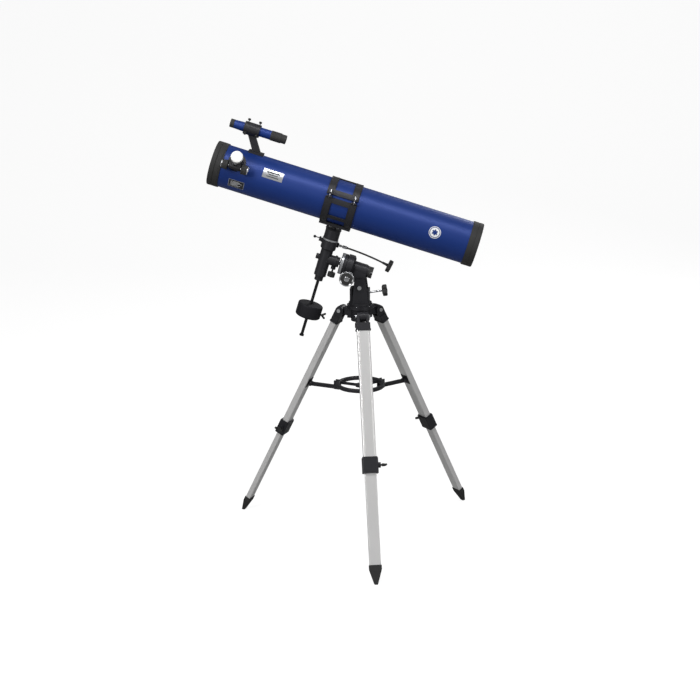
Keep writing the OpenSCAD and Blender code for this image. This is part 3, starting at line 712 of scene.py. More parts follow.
@dataclass(frozen=True)
class Glass:
    """Clear or silvered glass.

    Attributes:
        name: the material's name.
        silvered: a mirror instead of a lens.
    """

    name: str
    silvered: bool = False

    def material(self) -> bpy.types.Material:
        """Makes the glass.

        Returns:
            The material.
        """
        found = bpy.data.materials.get(self.name)
        if found is not None:
            return found
        mat = bpy.data.materials.new(self.name)
        mat.use_nodes = True
        n, link = mat.node_tree.nodes, mat.node_tree.links.new
        shader = n["Principled BSDF"]
        grain = n.new("ShaderNodeGroup")
        grain.node_tree = Groups.grain()
        rough = n.new("ShaderNodeMapRange")
        rough.inputs["To Min"].default_value = 0.02
        rough.inputs["To Max"].default_value = 0.06
        link(n.new("ShaderNodeTexCoord").outputs["Object"], grain.inputs["Vector"])
        link(grain.outputs["Cloud"], rough.inputs["Value"])
        link(rough.outputs["Result"], shader.inputs["Roughness"])
        if self.silvered:
            shader.inputs["Base Color"].default_value = (0.86, 0.88, 0.9, 1)
            shader.inputs["Metallic"].default_value = 1.0
        else:
            shader.inputs["Base Color"].default_value = (0.35, 0.3, 0.42, 1)
            shader.inputs["Transmission Weight"].default_value = 0.6
            shader.inputs["Coat Weight"].default_value = 1.0
        return mat


LENS = Glass("coated_lens")
MIRROR = Glass("mirror", silvered=True)


@dataclass
class Assembly:
    """A group of pieces that are built together.

    Attributes:
        layout: the sizes that place the group.
        pieces: what the group has made so far.
    """

    layout: Layout
    pieces: List[bpy.types.Object] = field(default_factory=list)

    def keep(
        self,
        name: str,
        grids: Sequence[Grid],
        finish: Finish,
        body: str,
        stands_for: Sequence[str] = (),
    ) -> bpy.types.Object:
        """Makes a piece, finishes it and ties it to its body.

        Args:
            name: the piece's name.
            grids: its surfaces.
            finish: its finish.
            body: the CAD body it moves with.
            stands_for: CAD nodes it replaces.

        Returns:
            The piece.
        """
        piece = make_piece(name, grids)
        finish.on(piece)
        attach(piece, body)
        if stands_for:
            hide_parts(*stands_for)
        self.pieces.append(piece)
        log.info("built %s: %d vertices", name, len(piece.data.vertices))
        return piece

    def dress(self, finish: Finish, *nodes: str) -> None:
        """Gives CAD nodes a finish.

        Args:
            finish: the finish.
            nodes: names of the nodes.
        """
        for node in nodes:
            finish.on(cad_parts[node])
            log.info("dressed %s with %s", node, finish.name)


def star_grids(
    at: Frame, r: float, low: float, high: float, lobes: int = 5, hub_r: float = 7.0
) -> List[Grid]:
    """Makes a moulded star knob about a frame's Z.

    The radius is r (0.84 + 0.16 tanh(1.6 cos(n a)) / tanh(1.6)), the rim's
    height follows a superellipse, and a raised boss closes the dished middle.

    Args:
        at: frame of the knob.
        r: radius at the lobes.
        low: height of the back face.
        high: height of the front face.
        lobes: how many lobes.
        hub_r: radius of the boss.

    Returns:
        The knob's surfaces.
    """
    thick = high - low
    turn = np.linspace(0, 2 * np.pi, 100, endpoint=False)
    t = np.linspace(0, np.pi, 25)
    # section of the rim: a superellipse from the back, round the edge, to the front
    section = np.sign(np.cos(t)) * np.abs(np.cos(t)) ** 0.55
    wave = 0.84 + 0.16 * np.tanh(1.6 * np.cos(lobes * turn)) / math.tanh(1.6)
    soft = 3.6
    inner = np.linspace(0, 1, 8)[:-1]
    flat_r = inner[:, None] * (r * wave - soft)[None, :]
    rim_r = (r * wave - soft)[None, :] + soft * (np.sin(t) ** 0.5)[:, None]
    dish = 1.2 * (1 - inner**2)
    radius = np.concatenate([flat_r, rim_r, flat_r[::-1]])
    rim_z = (low + high) / 2 - section * thick / 2
    height = np.concatenate([np.full(len(inner), low), rim_z, (high - dish)[::-1]])
    level = np.repeat(height[:, None], len(turn), axis=1)
    points = np.stack([radius * np.cos(turn), radius * np.sin(turn), level], axis=-1)
    rise = [(0, high - 2.5), (hub_r, high - 2.5), (hub_r * 0.92, high - 0.2), (0, high - 0.2)]
    boss = lathe(at, rise, 0.8, 48)
    return [Grid(at.place(points)), boss]


def screw_grids(at: Frame, r: float, high: float) -> List[Grid]:
    """Makes a domed screw head with a cross recess, seated at the frame's origin.

    The dome's height is h (1 - (s/r)^2)^0.5, and the recess sinks where either
    of the two crossing slots is nearer than its half width.

    Args:
        at: frame of the seat, with Z out of the head.
        r: radius of the head.
        high: height of the head.

    Returns:
        The head's surfaces.
    """
    s = np.concatenate([np.linspace(0, 0.96, 14), [1.0]])[:, None] * r
    a = np.linspace(0, 2 * np.pi, 48, endpoint=False)[None, :]
    x, y = s * np.cos(a), s * np.sin(a)
    z = high * np.sqrt(np.clip(1 - (s / r) ** 2, 0, 1)) + 0 * a
    slot = (np.minimum(np.abs(x), np.abs(y)) < r * 0.13) & (s < r * 0.62)
    z = np.where(slot, z - high * 0.45, z)
    skirt = np.stack([x[-1:], y[-1:], np.full((1, 48), -0.6)], axis=-1)
    foot = np.zeros((1, 48, 3))
    foot[..., 2] = -0.6
    top = np.stack([x, y, z], axis=-1)
    return [Grid(at.place(np.concatenate([foot, skirt, top[::-1]])))]


@dataclass
class OpticalTube(Assembly):
    """Tube, end rings, cap, labels and mirrors.

    Attributes:
        cap_w: depth of the dust cap.
        ring_w: depth of the front ring.
        cell_w: depth of the rear cell.
    """

    cap_w: float = 16.0
    ring_w: float = 20.6
    cell_w: float = 35.0

    def build(self) -> None:
        """Builds the turned end pieces, their screws and the labels."""
        lay, rr = self.layout, self.layout.ring_r
        front = lay.tube(lay.front_x)
        inner = lay.tube_r - 3.9
        cap = [
            (0, 0.0), (rr - 11, 0.0), (rr - 10, 1.2), (rr - 4, 1.2), (rr - 1.6, 0.0), (rr, 1.6),
            (rr, self.cap_w),
        ]
        cap += [
            (inner, self.cap_w), (inner, self.cap_w + 10), (inner - 2.4, self.cap_w + 10),
            (inner - 2.4, 2.6), (0, 2.6),
        ]
        self.keep("dust_cap_shell", [lathe(front, cap, 1.1, 192)], BLACK_PLASTIC, "dust_cap", ["dust_cap"])
        collar = lay.tube(lay.front_x + self.cap_w + 0.4)
        band = [
            (lay.tube_r - 3.4, 0.2), (rr - 1.0, 0.0), (rr, 1.0), (rr, 15.5), (rr - 0.9, 16.2),
            (rr - 0.9, 17.0),
        ]
        band += [
            (rr, 17.7), (rr - 0.4, self.ring_w), (lay.tube_r + 0.05, self.ring_w),
            (lay.tube_r + 0.05, 2.6),
        ]
        band += [(lay.tube_r - 3.4, 2.6), (lay.tube_r - 3.4, 0.2)]
        self.keep("front_ring_band", [lathe(collar, band, 0.5, 192)], BLACK_PLASTIC, "ota", ["front_ring"])
        cell = lay.tube(lay.rear_x - self.cell_w)
        shell = [
            (lay.tube_r + 0.05, 13.0), (lay.tube_r + 0.05, 0.0), (rr - 0.6, 0.0), (rr, 0.8),
            (rr, 17.6), (rr - 0.9, 18.2),
        ]
        shell += [
            (rr - 0.9, 19.2), (rr, 19.8), (rr, self.cell_w - 2.2), (rr - 2.2, self.cell_w),
            (rr - 9, self.cell_w),
        ]
        shell += [
            (rr - 10, self.cell_w - 1.4), (0, self.cell_w - 1.4), (0, self.cell_w - 6.1),
            (63, self.cell_w - 6.1), (63, 13.0),
        ]
        shell += [(lay.tube_r + 0.05, 13.0)]
        self.keep("rear_cell_shell", [lathe(cell, shell, 0.7, 192)], BLACK_PLASTIC, "ota", ["rear_cell"])
        self.screws()
        self.labels()

    def screws(self) -> None:
        """Sets six small screws round each end ring."""
        lay = self.layout
        heads: List[Grid] = []
        for station in (lay.front_x + 28, lay.rear_x - 27):
            for k in range(6):
                spoke = lay.tube(station).sub((0, 0, 0), turn_z=60 * k + 45)
                heads += screw_grids(spoke.sub((lay.ring_r - 0.5, 0, 0), turn_y=90), 2.6, 0.5)
        self.keep("ring_screws", heads, CHROME, "ota")

    def labels(self) -> None:
        """Lays the plates and the round badge on the tube, with plain bars for lettering."""
        r = self.layout.tube_r
        plates = (
            ("silver_plate", SILVER_LABEL, (-404.8, -338.0), (14.0, 39.0), 0.25),
            ("dark_plate_border", SILVER_LABEL, (-504.0, -452.0), (-42.0, -17.0), 0.2),
            ("dark_plate", BLACK_LABEL, (-502.6, -453.4), (-40.9, -18.1), 0.3),
        )
        for name, finish, span, turn, height in plates:
            self.keep(name, [self.plate(span, turn, r + height)], finish, "ota")
        bars: List[Grid] = []
        centre = -371.4
        for k, width in enumerate((0.8, 0.55, 0.7)):
            mid, half = 32.0 - 6.0 * k, 1.2 if k else 2.0
            span = (centre - 28 * width, centre + 28 * width)
            bars.append(self.plate(span, (mid - half, mid + half), r + 0.34))
        self.keep("silver_plate_print", bars, INK_DARK, "ota")
        lines: List[Grid] = []
        left = -497
        for k, width in enumerate((30, 38, 24, 34, 28)):
            low = -23.0 - 3.4 * k
            lines.append(self.plate((left, left + width), (low, low + 1.0), r + 0.38))
        self.keep("dark_plate_print", lines, INK_WHITE, "ota")
        self.badge(178.0, 10.8, 19.5)

    def plate(self, span: Tuple[float, float], turn: Tuple[float, float], r: float) -> Grid:
        """Makes a thin plate on the tube.

        Args:
            span: first and last station along the head's X.
            turn: lowest and highest angle above the level, on the near side.
            r: radius of the plate's face.

        Returns:
            The plate, closed down to the tube.
        """
        lay = self.layout
        sunk = lay.tube_r - 0.3
        # angles in the tube's frame: zero is straight down, and the near side is at -90
        aa = np.radians(-90.0 - np.linspace(*turn, 20))
        z, a = np.meshgrid(np.linspace(*span, 20), aa, indexing="ij")
        face = np.stack([r * np.cos(a), r * np.sin(a), z], axis=-1)
        low = np.stack([sunk * np.cos(a), sunk * np.sin(a), z], axis=-1)
        full = np.concatenate([low[:1], face, low[-1:]])
        left, right = full[:, :1].copy(), full[:, -1:].copy()
        shrink = sunk / r
        left[..., :2] *= shrink
        right[..., :2] *= shrink
        return Grid(lay.tube().place(np.concatenate([left, full, right], axis=1)), closed_v=False)

    def badge(self, station: float, up: float, size: float) -> None:
        """Makes the round badge: a pale disc with a ring and a six-lobed figure.

        Args:
            station: place along the head's X.
            up: degrees above the level on the near side.
            size: radius of the badge.
        """
        lay = self.layout

        def disc(radius: np.ndarray, turn: np.ndarray, lift: float) -> Grid:
            """Wraps polar points about the badge's centre on to the tube.

            Args:
                radius: distances from the centre.
                turn: angles about the centre.
                lift: height above the tube.

            Returns:
                The curved sheet.
            """
            around = np.radians(-90.0 - up) - radius * np.sin(turn) / lay.tube_r
            r = lay.tube_r + lift
            along = station + radius * np.cos(turn)
            return Grid(
                lay.tube().place(np.stack([r * np.cos(around), r * np.sin(around), along], axis=-1))
            )

        a = np.linspace(0, 2 * np.pi, 72, endpoint=False)
        s, t = np.meshgrid(np.linspace(0, size, 12), a, indexing="ij")
        self.keep("badge", [disc(s, t, 0.25)], INK_WHITE, "ota")
        s, t = np.meshgrid(np.linspace(size * 0.78, size * 0.9, 3), a, indexing="ij")
        ring = disc(s, t, 0.32)
        s, t = np.meshgrid(np.linspace(0, 1, 8), a, indexing="ij")
        wide = size * (0.3 + 0.22 * np.abs(np.sin(3 * t)))
        star = disc(s * wide, t, 0.32)
        self.keep("badge_print", [ring, star], BLUE, "ota")

    def finish(self) -> None:
        """Dresses the CAD nodes of the tube."""
        self.dress(BLUE, "tube")
        self.dress(SPIDER_BLACK, "spider")
        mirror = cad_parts["primary_mirror"]
        for place in mirror.material_slots:
            place.material = MIRROR.material()


@dataclass
class Focuser(Assembly):
    """Rack and pinion focuser with its knobs and cap.

    Attributes:
        out: tube axis to the drawtube's outer end.
    """

    out: float = 124.0

    def build(self) -> None:
        """Builds the cap, the knob grips and their bright ends."""
        at = self.layout.focuser()
        cap = [
            (0, self.out + 2.4), (17.5, self.out + 2.4), (19.6, self.out + 0.6),
            (19.6, self.out - 10),
        ]
        cap += [(18.08, self.out - 10), (18.08, self.out + 0.2), (0, self.out + 0.2)]

        def ribs(a: np.ndarray, z: np.ndarray) -> np.ndarray:
            """Shallow grip ribs on the cap's side."""
            return -0.25 * (0.5 + 0.5 * np.cos(40 * a)) * ((z > self.out - 9) & (z < self.out))

        self.keep(
            "eyepiece_cap_shell", [lathe(at, cap, 1.0, 160, ribs)], WHITE, "eyepiece_cap", ["eyepiece_cap"]
        )
        pinion = at.sub((0, -24.5, 92), turn_y=90)

        def knurl(a: np.ndarray, z: np.ndarray) -> np.ndarray:
            """Grooves along the grip."""
            return -0.7 * np.clip(np.cos(24 * a), 0, 1) ** 0.5 * ((z > 27.5) & (z < 40))

        grip = [(0, 23), (16, 23), (16, 27), (15.2, 27.2), (15.2, 40.4), (12.6, 41.2), (0, 41.2)]
        tip = [(0, 41.0), (12.4, 41.0), (12.4, 43.6), (11.0, 45.8), (0, 45.9)]
        ends = [pinion.sub((0, 0, 0), turn_x=side) for side in (0, 180)]
        grips = [lathe(end, grip, 0.9, 192, knurl) for end in ends]
        caps = [lathe(end, tip, 0.9, 64) for end in ends]
        spindle = lathe(pinion, [(0, -30), (2.5, -30), (2.5, 30), (0, 30)], 0.2, 32)
        self.keep("focus_grips", grips, BLACK_PLASTIC, "focus_knobs", ["focus_knobs"])
        self.keep("focus_knob_ends", caps + [spindle], CHROME, "focus_knobs")

    def finish(self) -> None:
        """Dresses the CAD nodes of the focuser."""
        self.dress(BLACK_CAST, "focuser_base")
        self.dress(CHROME, "drawtube")


@dataclass
class Finder(Assembly):
    """Finder telescope in its ring."""

    def build(self) -> None:
        """Builds the finder's tube, its eyepiece and its lenses."""
        lay = self.layout
        at = lay.head().sub((lay.front_x + 20, 0, lay.tube_z + lay.finder_h), turn_y=90)
        tube = [
            (12.0, 3.0), (12.0, 0.2), (13.3, 0.0), (13.3, 8.0), (13.6, 8.6), (15.2, 43.0),
            (15.0, 44.0), (15.0, 156.0),
        ]
        tube += [(12.0, 156.0), (12.0, 3.0)]
        self.keep("finder_barrel", [lathe(at, tube, 0.4, 96)], BLUE, "ota", ["finder_tube"])
        rim = [
            (12.1, 0.05), (13.2, 0.02), (13.9, 0.6), (14.1, 13.6), (13.6, 14.4), (12.1, 14.4),
            (12.1, 0.05),
        ]
        self.keep("finder_rim", [lathe(at, rim, 0.5, 96)], BLACK_PLASTIC, "ota")

        def grip(a: np.ndarray, z: np.ndarray) -> np.ndarray:
            """Knurled band of the eyepiece."""
            return -0.3 * (0.5 + 0.5 * np.cos(48 * a)) * ((z > 145) & (z < 158))

        eye = [
            (15.05, 137.0), (16.2, 137.0), (16.2, 143.4), (15.7, 144.0), (16.2, 144.6),
            (16.2, 170.0), (14.5, 174.0),
        ]
        eye += [
            (14.5, 187.4), (13.4, 188.0), (9.0, 188.0), (9.0, 166.0), (15.05, 166.0),
            (15.05, 137.0),
        ]
        self.keep(
            "finder_eye_barrel",
            [lathe(at, eye, 0.6, 192, grip)],
            BLACK_PLASTIC,
            "finder_eyepiece",
            ["finder_eyepiece"],
        )
        lens = [(0, 5.4), (6, 4.6), (12.05, 4.0), (12.05, 7.0), (6, 8.2), (0, 8.6)]
        front = make_piece("finder_objective", [lathe(at, lens, 2.0, 64)])
        eye_lens = [(0, 175.0), (9.05, 175.6), (9.05, 178.0), (5, 179.2), (0, 179.6)]
        back = make_piece("finder_eye_lens", [lathe(at, eye_lens, 1.5, 48)])
        for piece, body in ((front, "ota"), (back, "finder_eyepiece")):
            piece.data.materials.append(LENS.material())
            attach(piece, body)
            self.pieces.append(piece)
            log.info("built %s", piece.name)

    def finish(self) -> None:
        """Dresses the CAD nodes of the finder."""
        self.dress(BLACK_CAST, "finder_bracket")
        self.dress(BLACK_PLASTIC, "finder_screws")


@dataclass
class Scale(Assembly):
    """A ring of engraved divisions, built as fine bars that stand on a band."""

    def ring(
        self, name: str, at: Frame, r: float, z: Tuple[float, float], body: str, divisions: int = 72
    ) -> None:
        """Adds the divisions to a drum.

        Bar k spans the angle k 360/n, and every sixth bar is longer.

        Args:
            name: the piece's name.
            at: frame of the drum.
            r: radius of the drum.
            z: lowest and highest height of the band.
            body: the body it moves with.
            divisions: how many bars.
        """
        bars = []
        for k in range(divisions):
            tall = (z[1] - z[0]) * (0.8 if k % 6 == 0 else 0.45)
            middle = 360.0 / divisions * k
            bars.append(patch(at, r + 0.06, (z[0], z[0] + tall), (middle - 0.45, middle + 0.45), 2, 3))
        self.keep(name, bars, INK_DARK, body)


@dataclass
class Mount(Assembly):
    """Equatorial mount: yoke, polar drive, declination drive and counterweight.

    Attributes:
        weight_at: counterweight's lower face along the declination axis.
        weight_h: height of the counterweight.
        weight_r: radius of the counterweight.
        cable_start: where the flexible shaft leaves the declination housing.
        cable_bend: bend of the flexible shaft in degrees.
        cable_run: length of the flexible shaft.
        screw_x: latitude screw's seat in front of the tripod's axis.
        screw_drop: the seat below the latitude hinge.
        screw_tilt: rise of the latitude screw in degrees.
        azimuth_z: height of the azimuth knob's upper face.
    """

    weight_at: float = -207.0
    weight_h: float = 45.0
    weight_r: float = 42.0
    cable_start: Tuple[float, float, float] = (50.0, 20.0, 50.0)
    cable_bend: float = 10.0
    cable_run: float = 148.0
    screw_x: float = 28.0
    screw_drop: float = 21.4
    screw_tilt: float = 9.0
    azimuth_z: float = 736.0

    def build(self) -> None:
        """Builds knobs, scales, the flexible drive and the counterweight."""
        lay = self.layout
        head, cross = lay.head(), lay.cross()
        scale = Scale(lay)
        drum = head.sub((-84.5, 0, lay.polar_h), turn_y=90)
        band = [
            (34.0, 2.0), (35.2, 2.0), (35.4, 2.3), (35.4, 9.7), (35.2, 10.0), (34.0, 10.0),
            (34.0, 2.0),
        ]
        self.keep("ra_scale_band", [lathe(drum, band, 0.2, 144)], TURNED, "ra_wheel")
        scale.ring("ra_scale", drum, 35.4, (2.6, 9.4), "ra_wheel")
        scale.ring("dec_scale", cross.sub((0, 0, 63.5)), 26.5, (0.4, 4.4), "dec_wheel", 60)
        self.pieces += scale.pieces
        at = cross.sub((0, 0, self.weight_at))
        h, r = self.weight_h, self.weight_r
        weight = [
            (5.05, 0.0), (9.0, 0.0), (9.6, 1.2), (r - 5.0, 1.2), (r - 4.0, 0.0), (r, 4.0),
            (r, h - 3.0), (r - 3.0, h),
        ]
        weight += [(10.0, h), (9.4, h - 0.9), (5.05, h - 0.9), (5.05, 0.0)]
        self.keep(
            "counterweight_drum", [lathe(at, weight, 2.0, 128)], IRON, "counterweight", ["counterweight"]
        )
        self.flexible_drive()
        self.hand_wheel()
        self.star_knobs()

    def flexible_drive(self) -> None:
        """Builds the sleeved shaft: a wound arc with thicker ends, and a ferrule at the housing.

        The radius is 2.95 + 0.22 sin(60 turns along the length), and 4.1 within
        12 mm of either end.
        """
        bend = math.radians(self.cable_bend)
        rad = self.cable_run / bend
        at = self.layout.cross().sub(self.cable_start)
        t = np.linspace(0, 1, 420)
        path = np.stack([rad * np.sin(bend * t), 0 * t, rad * np.cos(bend * t) - rad], axis=-1)
        path = np.concatenate([[[-0.2, 0, 0]], path])
        share = np.linspace(0, 1, len(path))
        wound = 2.95 + 0.22 * np.sin(2 * np.pi * 60 * share)
        to_end = np.minimum(share, share[::-1]) * self.cable_run
        sleeve = swept(at.place(path), np.where(to_end < 12, 4.1, wound) * MM, 20)
        collar = [
            (3.35, 5.0), (3.35, 0.0), (5.2, 0.0), (5.2, 14.0), (4.0, 15.0), (0, 15.0), (0, 5.0),
            (3.35, 5.0),
        ]
        ferrule = lathe(at.sub((-6, 0, 0), turn_y=90), collar, 0.6, 48)
        self.keep("flexible_sleeve", [sleeve], SLEEVE, "dec_body", ["dec_cable"])
        self.keep("flexible_ferrule", [ferrule], CHROME, "dec_body")

    def hand_wheel(self) -> None:
        """Builds the polar hand wheel: a bright rim round a five-lobed plate."""
        at = self.layout.head().sub((-47.5, -79, self.layout.polar_h - 26.5), turn_x=-90)
        rim = [(20.5, 0.4), (21.2, 0.0), (23.8, 0.0), (24.5, 0.8), (24.5, 10.2), (23.8, 11.0)]
        rim += [(21.2, 11.0), (20.5, 10.4), (20.5, 0.4)]

        def flutes(a: np.ndarray, z: np.ndarray) -> np.ndarray:
            """Finger flutes round the rim."""
            return -0.35 * (0.5 + 0.5 * np.cos(30 * a)) * ((z > 1.0) & (z < 10.0))

        boss = [(0, 0.0), (8.0, 0.0), (9.0, 1.0), (9.0, 13.5), (6.0, 14.5), (6.0, 19.0), (3.5, 19.0)]
        bright = [lathe(at, rim, 0.8, 180, flutes), lathe(at, boss, 0.8, 64)]
        self.keep("ra_wheel_rim", bright, CHROME, "ra_worm", ["ra_knob"])
        turn = np.linspace(0, 2 * np.pi, 120, endpoint=False)
        edge = 21.0 - 2.6 * np.clip(np.cos(5 * turn), 0, 1)
        s = np.array([0.0, 0.9, 1.0, 1.0, 0.9, 0.0])[:, None]
        z = np.array([1.2, 1.2, 1.8, 8.6, 9.2, 9.2])[:, None] + 0 * turn
        radius = s * edge
        plate = Grid(at.place(np.stack([radius * np.cos(turn), radius * np.sin(turn), z], axis=-1)))
        self.keep("ra_wheel_plate", [plate], BLACK_PLASTIC, "ra_worm")

    def star_knobs(self) -> None:
        """Builds the three star knobs and the stems that the CAD nodes had."""
        lay = self.layout
        bend = math.radians(self.cable_bend)
        rad = self.cable_run / bend
        along = (rad * math.sin(bend), 0.0, rad * math.cos(bend) - rad)
        end = lay.cross().sub(self.cable_start).sub(along, turn_y=90 + self.cable_bend)
        grip = star_grids(end, 21.4, 6.0, 19.9)
        stem = lathe(end, [(0, 0.3), (4.2, 0.3), (5.0, 1.0), (5.0, 7.5), (0, 7.5)], 0.5, 48)
        self.keep("dec_star", grip + [stem], BLACK_PLASTIC, "dec_knob", ["dec_knob"])
        screw = lay.stand().sub(
            (self.screw_x, 0, lay.pivot_z - self.screw_drop), turn_y=90 - self.screw_tilt
        )
        rod = lathe(screw, [(0, -17.5), (2.4, -17.5), (3.5, -15.8), (3.5, 47.0), (0, 47.0)], 0.4, 48)
        star = star_grids(screw, 19.9, 46.0, 60.9)
        self.keep("latitude_star", star, BLACK_PLASTIC, "latitude_screw", ["latitude_screw"])
        self.keep("latitude_rod", [rod], CHROME, "latitude_screw")
        under = lay.stand().sub((0, 0, self.azimuth_z), turn_x=180)
        stem = lathe(lay.stand(), [(0, 730), (5.0, 730), (5.0, 804.0), (4.0, 805.4), (0, 805.4)], 0.4, 48)
        star = star_grids(under, 19.9, 0.0, 17.9)
        self.keep("azimuth_star", star, BLACK_PLASTIC, "azimuth_knob", ["azimuth_knob"])
        self.keep("azimuth_bolt", [stem], CHROME, "azimuth_knob")

    def finish(self) -> None:
        """Dresses the CAD nodes of the mount."""
        self.dress(BLACK_CAST, "yoke", "polar_housing", "dec_housing", "saddle", "ra_wheel", "dec_lock")
        self.dress(BLACK_PLASTIC, "polar_cap", "ra_lock", "counterweight_screw")
        self.dress(CHROME, "latitude_bolt", "dec_worm")
        self.dress(STEEL, "ra_shaft", "dec_shaft", "ra_worm")
        self.dress(BLACKENED, "counterweight_bar")
        self.dress(TURNED, "dec_wheel")


@dataclass
class Cradle(Assembly):
    """Two hinged bands that hold the tube.

    Attributes:
        band_x: either band's middle from the declination axis.
        band_w: width of a band.
        split: angle of the hinge about the tube, with zero straight down.
    """

    band_x: float = 40.75
    band_w: float = 23.0
    split: float = 69.0

    def build(self) -> None:
        """Lines the bands with felt, seen at their edges, and adds raised outer ribs."""
        lay = self.layout
        felt: Dict[str, List[Grid]] = {"saddle": [], "cradle_upper": []}
        ribs: Dict[str, List[Grid]] = {"saddle": [], "cradle_upper": []}
        spans = (
            ("saddle", (self.split - 176.4, self.split - 4.6)),
            ("cradle_upper", (self.split + 4.6, self.split + 176.4)),
        )
        wide, r = self.band_w, lay.tube_r
        for side in (-self.band_x, self.band_x):
            at = lay.tube(side - lay.reach - wide / 2)
            for body, turn in spans:
                felt[body].append(self.strip(at, r + 0.12, r + 0.28, (-0.8, wide + 0.8), turn))
                for z in ((0.9, 3.6), (wide - 3.6, wide - 0.9)):
                    ribs[body].append(self.strip(at, r + 4.6, r + 5.7, z, turn))
        for body, part in (("saddle", "lower"), ("cradle_upper", "upper")):
            self.keep(f"{part}_felt", felt[body], FELT, body)
            self.keep(f"{part}_ribs", ribs[body], BLACK_CAST, body)

    @staticmethod
    def strip(
        at: Frame, low: float, high: float, z: Tuple[float, float], turn: Tuple[float, float]
    ) -> Grid:
        """Bends a rectangular strip round a frame's Z.

        Args:
            at: frame of the band.
            low: inner radius.
            high: outer radius.
            z: lowest and highest height.
            turn: first and last angle in degrees.

        Returns:
            The closed strip.
        """
        a = np.radians(np.linspace(*turn, 90))
        soft = 0.3 * (high - low)
        r = np.array([low, high - soft, high, high, high - soft, low])
        h = np.array([z[0], z[0], z[0] + soft, z[1] - soft, z[1], z[1]])
        level = np.repeat(h[None], len(a), axis=0)
        ring = np.stack([np.outer(np.cos(a), r), np.outer(np.sin(a), r), level], axis=-1)
        first = np.repeat(ring[:1].mean(axis=1, keepdims=True), len(r), axis=1)
        last = np.repeat(ring[-1:].mean(axis=1, keepdims=True), len(r), axis=1)
        return Grid(at.place(np.concatenate([first, ring, last])))

    def finish(self) -> None:
        """Dresses the CAD nodes of the cradle."""
        self.dress(BLACK_CAST, "cradle_lower", "cradle_upper")
        self.dress(CHROME, "cradle_screws")


@dataclass
class Tripod(Assembly):
    """Hub, legs, feet and spreader."""

    def build(self) -> None:
        """Adds the hub's screws and the bright trim under each leg's head."""
        lay = self.layout
        heads: List[Grid] = []
        for k in range(6):
            seat = lay.stand().sub((0, 0, 0), turn_z=60 * k + 20).sub((41.0, 0, 798.0))
            heads += screw_grids(seat, 2.2, 0.9)
        self.keep("hub_screws", heads, CHROME, "hub")
        for index, name in enumerate("abc"):
            trim = self.collar(lay.leg(index), 22.4, 42.4, 46.6, 49.4)
            self.keep(f"leg_trim_{name}", [trim], CHROME, f"leg_{name}")

    @staticmethod
    def collar(at: Frame, depth: float, width: float, low: float, high: float) -> Grid:
        """Makes a thin bright sleeve round a channel.

        The outline is a superellipse |x/a|^9 + |y/b|^9 = 1.

        Args:
            at: frame of the leg.
            depth: outer size along X.
            width: outer size along Y.
            low: lower height.
            high: upper height.

        Returns:
            The sleeve.
        """
        t = np.linspace(0, 2 * np.pi, 96, endpoint=False)
        power = 2.0 / 9.0
        x = np.sign(np.cos(t)) * np.abs(np.cos(t)) ** power
        y = np.sign(np.sin(t)) * np.abs(np.sin(t)) ** power
        grow = np.array([-0.6, 0.7, 1.0, 1.0, 0.7, -0.6, -0.6])[:, None]
        z = np.array([low, low, low + 0.4, high - 0.4, high, high, low])[:, None] + 0 * t
        return Grid(at.place(np.stack([(depth / 2 + grow) * x, (width / 2 + grow) * y, z], axis=-1)))

    def finish(self) -> None:
        """Dresses the CAD nodes of the tripod."""
        self.dress(BLACK_CAST, "hub", "spreader_ring")
        self.dress(CHROME, "hub_bolts")
        for index, name in enumerate("abc"):
            along = self.layout.leg(index).axes()[2]
            drawn = replace(ANODISED, name=f"leg_aluminium_{name}", drawn=tuple(along))
            self.dress(drawn, f"leg_upper_{name}", f"leg_lower_{name}")
            self.dress(BLACK_CAST, f"leg_fittings_{name}", f"spreader_arm_{name}")
            self.dress(BLACK_RUBBER, f"leg_foot_{name}")
            self.dress(BLACK_PLASTIC, f"leg_knob_{name}")


# ---------------------------------------------------------------- studio


